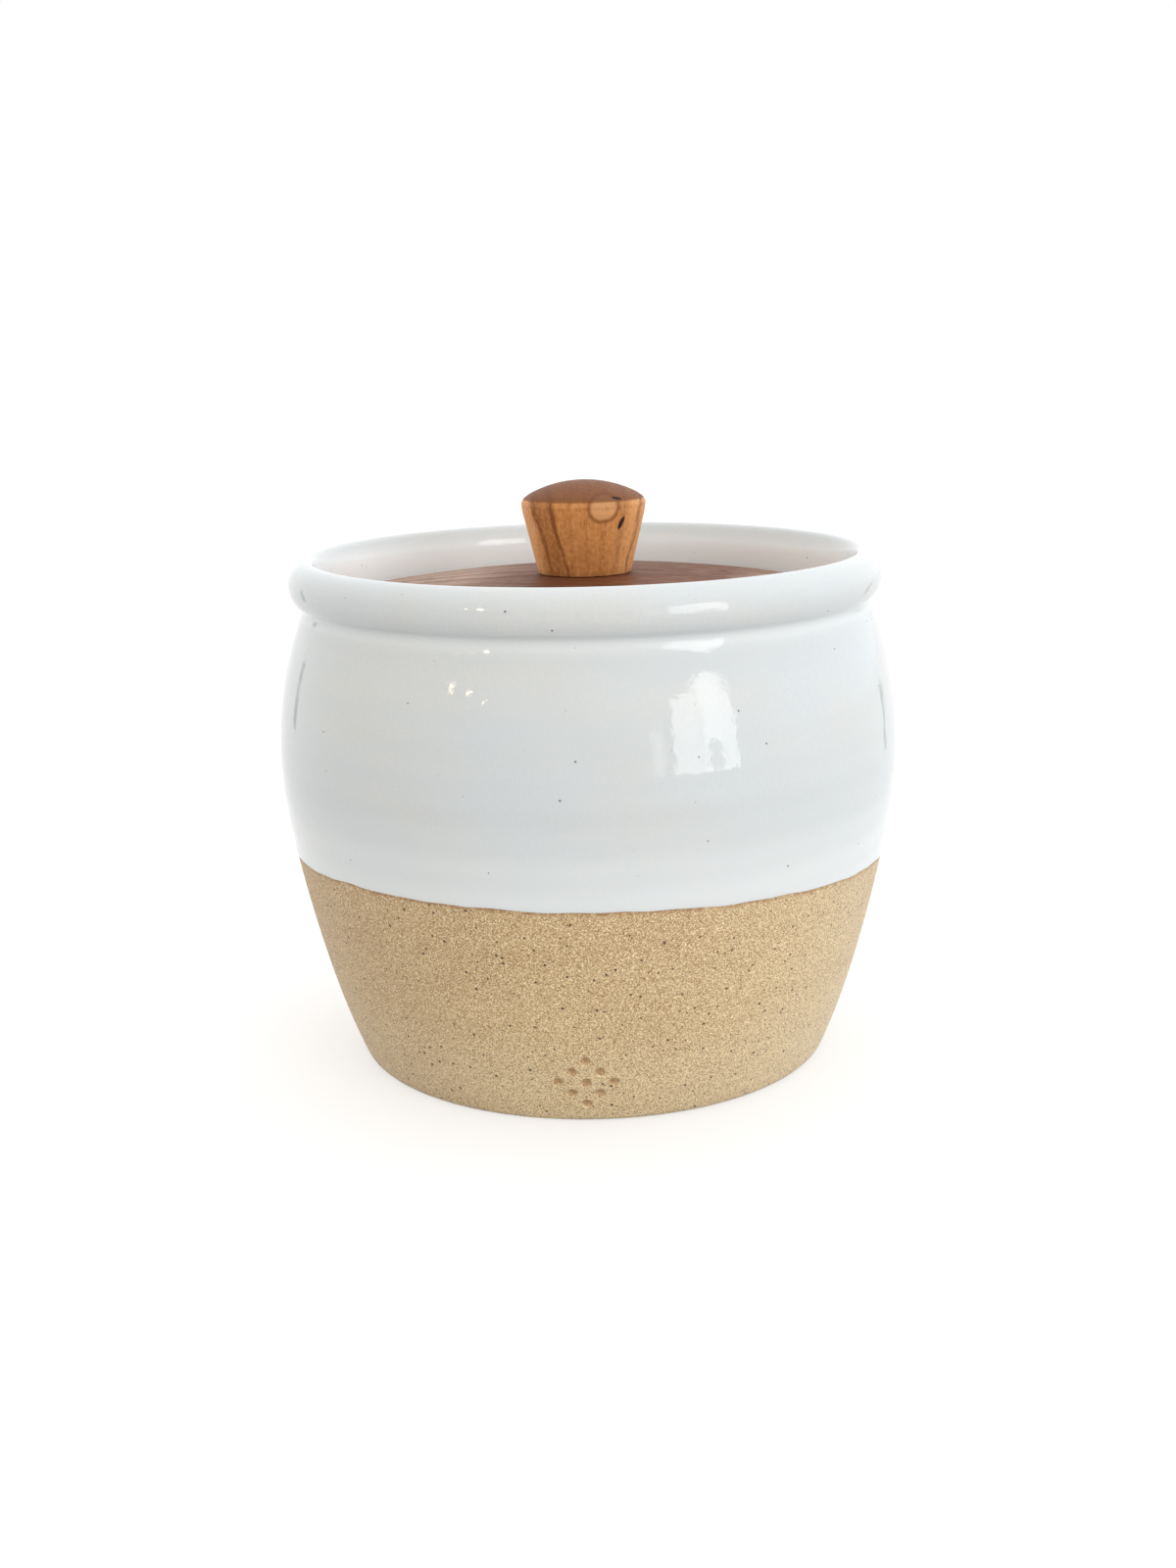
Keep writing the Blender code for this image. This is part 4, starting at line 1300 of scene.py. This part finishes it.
class CROCK_OT_dip_glaze(bpy.types.Operator):
    """Coat the pot inside, over the rim and down to the dip line with white glaze"""

    bl_idname = "crock.dip_glaze"
    bl_label = "Dip the glaze"

    def execute(self, context):
        crock = context.scene.crock
        settings = crock.pot
        form = PotForm(settings)
        outline, crest = form.outline, form.crest_along
        along, out, hidden = self.section(form, settings)
        finish = make_glaze_finish(crock.glaze)
        mesh, row, followed = form.surface(outline.at(along, out), along, out, finish)
        far = hidden[row] | (followed > form.neck_along)
        above = np.where(far, FAR_FROM_DIP, along[row] - form.dip_along)
        # Inside the mouth and in the hollow under the rim the glaze counts as pooled. It is painted paler
        # there as painted light that lifts their shade
        within = smooth_step(followed, crest + POOL_START, crest + POOL_END)
        pooled = np.maximum(within, outline.hollow(followed, 0.003) * settings.pooling)
        keep_values(mesh, above_dip=above, pooled=pooled, edge=outline.edge_wear(followed, 0.003))
        add_piece("crock_glaze", mesh, "crock", "white_glaze", "crock_body")
        return {"FINISHED"}

    def section(self, form, settings):
        """Rows of the glaze from the floor's middle under its face, round its lip and back over it."""
        limit = form.longest_row(bare=0.0012, glazed=0.0011, hidden=0.0028)
        face = form.outline.rows(limit, sharpest=9)
        under = form.outline.rows(0.007, sharpest=28)
        lip, swell = settings.lip_radius, settings.lip_swell
        start = form.dip_along + lip
        face = face[face > start + FACE_GAP]
        under = under[under > start + UNDERSIDE_GAP][::-1]
        turn = np.linspace(-math.pi / 2, -math.pi * 3 / 2, LIP_POINTS)
        fade = 1 - smooth_step(face, start, start + settings.lip_fade)
        along = np.concatenate([under, start + lip * np.cos(turn), face])
        thickness = np.full(len(under), -settings.glaze_thickness)
        out = np.concatenate([thickness, swell - lip + lip * np.sin(turn), swell * fade])
        return along, out, np.arange(len(along)) < len(under)


class CROCK_OT_turn_lid(bpy.types.Operator):
    """Turn the domed lid, drilled and countersunk underneath"""

    bl_idname = "crock.turn_lid"
    bl_label = "Turn the lid"

    def execute(self, context):
        settings = context.scene.crock.lid
        outline = Outline("lid_disc")
        along = outline.rows(settings.row, sharpest=9)
        mesh, row, _ = turned_mesh(*outline.at(along), settings.facets, make_lid_finish(settings))
        face_outwards(mesh)
        keep_values(mesh, edge=outline.edge_wear(along, 0.0015)[row])
        add_piece("lid_wood", mesh, "lid", "dark_wood", "lid_disc")
        return {"FINISHED"}


class CROCK_OT_turn_knob(bpy.types.Operator):
    """Turn the knob, a cone that widens upwards under a low domed top"""

    bl_idname = "crock.turn_knob"
    bl_label = "Turn the knob"

    def execute(self, context):
        settings = context.scene.crock.knob
        outline = Outline("lid_knob")
        along = outline.rows(settings.row, sharpest=9)
        low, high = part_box("lid_knob")
        shoulder = smooth_step(outline.at(along)[1], (low.z + high.z) / 2, high.z - SHOULDER_DEPTH)
        eased = settings.easing * shoulder * outline.edge_wear(along, 0.0018)
        radius, height = outline.at(along, -eased)
        mesh, row, _ = turned_mesh(radius, height, settings.facets, make_knob_finish(settings))
        face_outwards(mesh)
        crease = np.interp(np.max(radius) - SAME_PLACE, np.maximum.accumulate(radius), height)
        x, y, z = vertex_places(mesh).T
        rise = np.clip((z - low.z) / (crease - low.z), 0.0, 1.0)
        foot_radius = np.max(radius[height < low.z + KNOB_FOOT])
        widen = high.x / (foot_radius + (high.x - foot_radius) * rise)
        keep_values(
            mesh, grain=np.column_stack([z, x * widen, y * widen]), rise=rise,
            top=smooth_step(z, crease + 0.0010, crease + 0.0018), edge=outline.edge_wear(along, 0.0012)[row],
        )
        add_piece("knob_wood", mesh, "lid", "light_wood", "lid_knob")
        return {"FINISHED"}


class CROCK_OT_drive_screw(bpy.types.Operator):
    """Cut the countersunk screw with its thread and its cross, and drive it up into the knob"""

    bl_idname = "crock.drive_screw"
    bl_label = "Drive the screw"

    def execute(self, context):
        settings = context.scene.crock.screw
        low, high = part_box("knob_screw")
        finish = make_steel_finish()
        radius, rise = self.section(settings, high.x, high.z - low.z)
        mesh, row, angle = turned_mesh(radius, rise + low.z, settings.facets, finish)
        ridge = self.thread(settings, rise[row], angle, high.z - low.z, radius[row])
        place_vertices(mesh, radius[row] + ridge, angle, rise[row] + low.z)
        face_outwards(mesh)
        made = run_form("Cross drive", mesh, {
            "Length": settings.drive_length, "Width": settings.drive_width, "Depth": settings.drive_depth,
            "Height": low.z + settings.drive_depth, "Finish": finish,
        })
        bpy.data.meshes.remove(mesh)
        face_outwards(made)
        add_piece("wood_screw", made, "lid", "stainless_steel", "knob_screw")
        return {"FINISHED"}

    def section(self, settings, head_radius, length):
        """Radii and heights of the screw's rows, from the middle of its head to its point."""
        core, soft, rim = settings.core_radius, settings.head_round, settings.head_rim
        step = settings.pitch / settings.rows
        shank = np.arange(rim + head_radius - core, length - settings.tip, step)
        tip = np.linspace(1.0, 0.0, round(settings.tip / step) + 1)
        radius = [0.0, head_radius * 0.8, head_radius - soft, head_radius, head_radius, head_radius - soft]
        radius = np.concatenate([radius, np.full(len(shank), core), core * tip])
        height = np.concatenate([[0.0, 0.0, 0.0, soft, rim, rim + soft], shank, length - settings.tip * tip])
        return radius, height

    def thread(self, settings, rise, angle, length, radius):
        """How far the thread stands out of the core: one right-hand ridge that fades in and out."""
        turn = (rise / settings.pitch - angle / FULL_TURN) % 1.0
        ridge = np.maximum(0.0, 1.0 - 4.0 * np.abs(turn - 0.5))
        start = length - settings.bite
        fade = smooth_step(rise, start, start + settings.pitch)
        fade = fade * np.minimum(radius / settings.core_radius, 1.0)
        return (settings.thread_radius - settings.core_radius) * ridge * fade


class CROCK_OT_mould_weights(bpy.types.Operator):
    """Mould the two half-moon weights with their finger holes"""

    bl_idname = "crock.mould_weights"
    bl_label = "Mould the weights"

    def execute(self, context):
        crock = context.scene.crock
        finish = make_clay_finish("weight_clay_finish", crock.clay)
        for node, side in (("weight_right", 1.0), ("weight_left", -1.0)):
            mesh = self.half_moon(node, side, crock.weights)
            mesh.materials.append(finish)
            keep_values(mesh, below_dip=1.0, sunk=0.0)
            add_piece(f"{node}_clay", mesh, node, "bare_clay", node)
        return {"FINISHED"}

    def arc(self, x, y, radius, start, end, facets):
        """Points along an arc without its last one, with so many facets to a whole circle."""
        steps = max(4, round(facets * (end - start) / FULL_TURN))
        turns = np.linspace(start, end, steps + 1)[:-1]
        return [(x + radius * math.cos(turn), y + radius * math.sin(turn)) for turn in turns]

    def half_moon(self, node, side, settings):
        """A half-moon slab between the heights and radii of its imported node."""
        low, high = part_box(node)
        radius = max(abs(low.x), abs(high.x))
        corner = settings.corner_round
        corner_x = min(abs(low.x), abs(high.x)) + corner
        corner_y = math.sqrt((radius - corner) ** 2 - corner_x ** 2)
        sweep = math.atan2(corner_y, corner_x)
        facets = settings.facets
        rim = self.arc(corner_x, -corner_y, corner, -math.pi, -sweep, facets)
        rim += self.arc(0.0, 0.0, radius, -sweep, sweep, facets)
        rim += self.arc(corner_x, corner_y, corner, sweep, math.pi, facets)
        hole = self.arc(settings.hole_offset, 0.0, settings.hole_radius, 0.0, FULL_TURN, facets // 2)
        shape = bmesh.new()
        edges = []
        for loop in (rim, hole):
            verts = [shape.verts.new((side * x, y, low.z)) for x, y in loop]
            edges += [shape.edges.new((verts[index - 1], verts[index])) for index in range(len(verts))]
        bmesh.ops.remove_doubles(shape, verts=shape.verts, dist=SAME_PLACE)
        bmesh.ops.triangle_fill(shape, use_beauty=True, edges=[edge for edge in edges if edge.is_valid])
        raised = bmesh.ops.extrude_face_region(shape, geom=shape.faces[:])
        raised_verts = [item for item in raised["geom"] if isinstance(item, bmesh.types.BMVert)]
        bmesh.ops.translate(shape, vec=(0.0, 0.0, high.z - low.z), verts=raised_verts)
        bmesh.ops.recalc_face_normals(shape, faces=shape.faces)
        bmesh.ops.bevel(
            shape, geom=[edge for edge in shape.edges if edge.calc_face_angle() > ROUNDED_FOLD],
            offset=settings.edge_round, offset_type="OFFSET", segments=ROUNDED_ROWS, profile=0.5,
            affect="EDGES",
        )
        mesh = bpy.data.meshes.new(node)
        shape.to_mesh(mesh)
        shape.free()
        face_outwards(mesh)
        return mesh


class CROCK_OT_set_stage(bpy.types.Operator):
    """Lay the pale floor, hang the lights and set the camera at the picture's view"""

    bl_idname = "crock.set_stage"
    bl_label = "Set the stage"

    def execute(self, context):
        settings = context.scene.crock.stage
        context.scene.view_settings.view_transform = "Standard"
        self.lay_floor(settings)
        self.light_sky(context, settings)
        self.hang_cards(settings)
        self.set_camera(context, settings)
        return {"FINISHED"}

    def add_sheet(self, name, half_x, half_y, height, finish):
        """A flat rectangle of the stage."""
        mesh = bpy.data.meshes.new(name)
        corners = [(x * half_x, y * half_y, height) for x, y in ((-1, -1), (1, -1), (1, 1), (-1, 1))]
        mesh.from_pydata(corners, [], [(0, 1, 2, 3)])
        mesh.materials.append(finish)
        sheet = bpy.data.objects.new(name, mesh)
        bpy.context.scene.collection.objects.link(sheet)
        return sheet

    def lay_floor(self, settings):
        """A wide pale floor just under the foot. What sees it finds it near white, shadow and all."""
        material, nodes, shader = new_material("floor_finish")
        path = nodes.add("ShaderNodeLightPath")
        mirrored = nodes.larger(path["Is Glossy Ray"], path["Is Transmission Ray"])
        seen = nodes.larger(path["Is Camera Ray"], mirrored)
        nodes.fill(shader, {
            "Base Color": (*settings.floor, 1.0), "Roughness": 1.0, "Specular IOR Level": 0.0,
            "Emission Color": WHITE, "Emission Strength": nodes.times(seen, settings.floor_lift),
        })
        half = settings.floor_width / 2
        self.add_sheet("floor", half, half, CAD_BOX[0].z - FLOOR_GAP, material)

    def light_sky(self, context, settings):
        """Even soft light that leans to one side and is dimmer in reflections. The camera sees white."""
        world = bpy.data.worlds.new("studio")
        world.use_nodes = True
        world.node_tree.nodes.clear()
        context.scene.world = world
        nodes = Nodes(world.node_tree)
        towards = (math.cos(settings.sky_towards), math.sin(settings.sky_towards), 0.25)
        direction = nodes.add("ShaderNodeTexCoord")["Generated"]
        lean = nodes.vector("DOT_PRODUCT", direction, towards)["Value"]
        height = nodes.larger(nodes.split(direction)[2], 0.0)
        strength = nodes.times_plus(lean, settings.sky_lean, settings.sky)
        strength = nodes.times_plus(height, settings.sky_rise, strength)
        path = nodes.add("ShaderNodeLightPath")
        dimmed = nodes.ramp(path["Is Glossy Ray"], 0.0, 1.0, 1.0, settings.sky_mirrored)
        tint = nodes.mix(nodes.ramp(lean, -0.8, 0.8), settings.sky_warm, settings.sky_cool)
        light = {"Color": tint, "Strength": nodes.times(strength, dimmed)}
        light = nodes.add("ShaderNodeBackground", light)[0]
        backdrop = nodes.add("ShaderNodeBackground", {"Color": WHITE, "Strength": 1.0})[0]
        mixed = nodes.add("ShaderNodeMixShader", {0: path["Is Camera Ray"], 1: light, 2: backdrop})[0]
        nodes.add("ShaderNodeOutputWorld", {"Surface": mixed})

    def hang_cards(self, settings):
        """A window to the right of the camera, warm lamps to its left and two dark posts behind."""
        distance = settings.window_distance
        self.hang_card("window", WINDOW_PLACE, distance, WINDOW_SIZE, self.window_finish(settings))
        for index, (place, size, radiance) in enumerate(GLINTS):
            name = f"warm_lamp_{index + 1}"
            finish = self.glow_finish(name, GLINT_COLOUR, radiance)
            self.hang_card(name, place, distance, size, finish).visible_diffuse = False
        for name, place in POSTS.items():
            finish = self.glow_finish(name, POST_COLOUR, POST_RADIANCE)
            post = self.hang_card(name, place, distance / 2, POST_SIZE, finish)
            post.visible_diffuse = False
            post.visible_shadow = False

    def hang_card(self, name, place, distance, size, finish):
        """A card of a size in degrees that faces the pot, which only the camera can't see."""
        half_x, half_y = (distance * math.tan(math.radians(side) / 2) for side in size)
        card = self.add_sheet(name, half_x, half_y, 0.0, finish)
        turn, rise = (math.radians(angle) for angle in place)
        towards = heading(math.pi - turn, rise)
        card.location = Vector(LIT_POINT) + towards * distance
        card.rotation_euler = towards.to_track_quat("Z", "Y").to_euler()
        card.visible_camera = False
        return card

    def new_glow(self, name):
        """A material that only glows, with its nodes, which are still to be added."""
        material, nodes, _ = new_material(f"{name}_glow")
        nodes.tree.nodes.clear()
        return material, nodes

    def glow_finish(self, name, colour, radiance):
        """A surface that glows evenly."""
        material, nodes = self.new_glow(name)
        glow = nodes.add("ShaderNodeEmission", {"Color": (*tone(*colour), 1.0), "Strength": radiance})[0]
        nodes.add("ShaderNodeOutputMaterial", {"Surface": glow})
        return material

    def window_finish(self, settings):
        """Glowing panes with ragged tops on clear glass, and a dark plant low in front of them."""
        material, nodes = self.new_glow("window")
        degrees = math.degrees(1 / settings.window_distance)
        place = nodes.stretch(nodes.place(), (degrees, degrees, degrees))
        leaves = nodes.add("ShaderNodeTexNoise", {"Vector": place, "Scale": 0.9, "Detail": 3.0})["Color"]
        leaves = nodes.vector("SUBTRACT", leaves, (0.5, 0.5, 0.5))[0]
        ragged = nodes.vector("MULTIPLY_ADD", leaves, LEAF_REACH, place)[0]
        across = nodes.split(place)[0]
        ragged_across, ragged_up, _ = nodes.split(ragged)
        total = 0.0
        for low, high, top, slope, share in PANES:
            sides = nodes.times(
                nodes.ramp(across, low, low + PANE_SOFT), nodes.ramp(across, high, high - PANE_SOFT)
            )
            under = nodes.minus(nodes.times_plus(ragged_across, slope, top), ragged_up)
            pane = nodes.times(sides, nodes.ramp(under, 0.0, PANE_SOFT))
            total = nodes.times_plus(pane, share, total)
        spot = nodes.vector("SUBTRACT", ragged, PLANT_PLACE)[0]
        plant = nodes.length(nodes.stretch(spot, (1 / PLANT_SIZE[0], 1 / PLANT_SIZE[1], 0.0)))
        total = nodes.times(total, nodes.ramp(plant, 0.85, 1.1, 0.15, 1.0))
        glow = nodes.add("ShaderNodeEmission", {"Strength": nodes.times(total, settings.window)})[0]
        clear = nodes.add("ShaderNodeBsdfTransparent")[0]
        both = nodes.add("ShaderNodeAddShader", {0: glow, 1: clear})[0]
        nodes.add("ShaderNodeOutputMaterial", {"Surface": both})
        return material

    def set_camera(self, context, settings):
        """A camera at the picture's place, with its lean."""
        data = bpy.data.cameras.new("camera")
        data.lens = settings.lens
        camera = bpy.data.objects.new("camera", data)
        context.scene.collection.objects.link(camera)
        roll = settings.roll
        forward = heading(settings.yaw, -settings.pitch)
        level = heading(settings.yaw + math.pi / 2, 0.0)
        up = level.cross(forward)
        right = level * math.cos(roll) + up * math.sin(roll)
        upright = up * math.cos(roll) - level * math.sin(roll)
        camera.matrix_world = Matrix((right, upright, -forward)).transposed().to_4x4()
        camera.location = (0.0, -settings.distance, settings.height)
        context.scene.camera = camera


class CROCK_PT_sidebar(bpy.types.Panel):
    """Lists the crock's settings and the steps that make it"""

    bl_idname = "CROCK_PT_sidebar"
    bl_label = "Pickle crock"
    bl_space_type = "VIEW_3D"
    bl_region_type = "UI"
    bl_category = "Crock"

    def draw(self, context):
        for label, groups, steps in (
            ("Pot", ("pot", "dots", "grog", "clay"), ("prepare", "throw_pot")),
            ("Glaze", ("glaze",), ("dip_glaze",)),
            ("Lid", ("lid",), ("turn_lid",)),
            ("Knob", ("knob",), ("turn_knob",)),
            ("Screw", ("screw",), ("drive_screw",)),
            ("Weights", ("weights",), ("mould_weights",)),
            ("Stage", ("stage",), ("set_stage",)),
        ):
            box = self.layout.box()
            box.label(text=label)
            for group in groups:
                settings = getattr(context.scene.crock, group)
                for name in settings.__annotations__:
                    box.prop(settings, name)
            for step in steps:
                box.operator(f"crock.{step}")


CLASSES = (
    PotSettings, DotSettings, GrogSettings, GlazeSettings, ClaySettings, LidSettings, KnobSettings,
    ScrewSettings, WeightSettings, StageSettings, CrockSettings, CROCK_OT_prepare, CROCK_OT_throw_pot,
    CROCK_OT_dip_glaze, CROCK_OT_turn_lid, CROCK_OT_turn_knob, CROCK_OT_drive_screw,
    CROCK_OT_mould_weights, CROCK_OT_set_stage, CROCK_PT_sidebar,
)


def register():
    for cls in CLASSES:
        bpy.utils.register_class(cls)
    bpy.types.Scene.crock = PointerProperty(type=CrockSettings)


def unregister():
    del bpy.types.Scene.crock
    for cls in reversed(CLASSES):
        bpy.utils.unregister_class(cls)


def main():
    register()
    bpy.ops.crock.prepare()
    bpy.ops.crock.throw_pot()
    bpy.ops.crock.dip_glaze()
    bpy.ops.crock.turn_lid()
    bpy.ops.crock.turn_knob()
    bpy.ops.crock.drive_screw()
    bpy.ops.crock.mould_weights()
    bpy.ops.crock.set_stage()


if __name__ == "__main__":
    main()
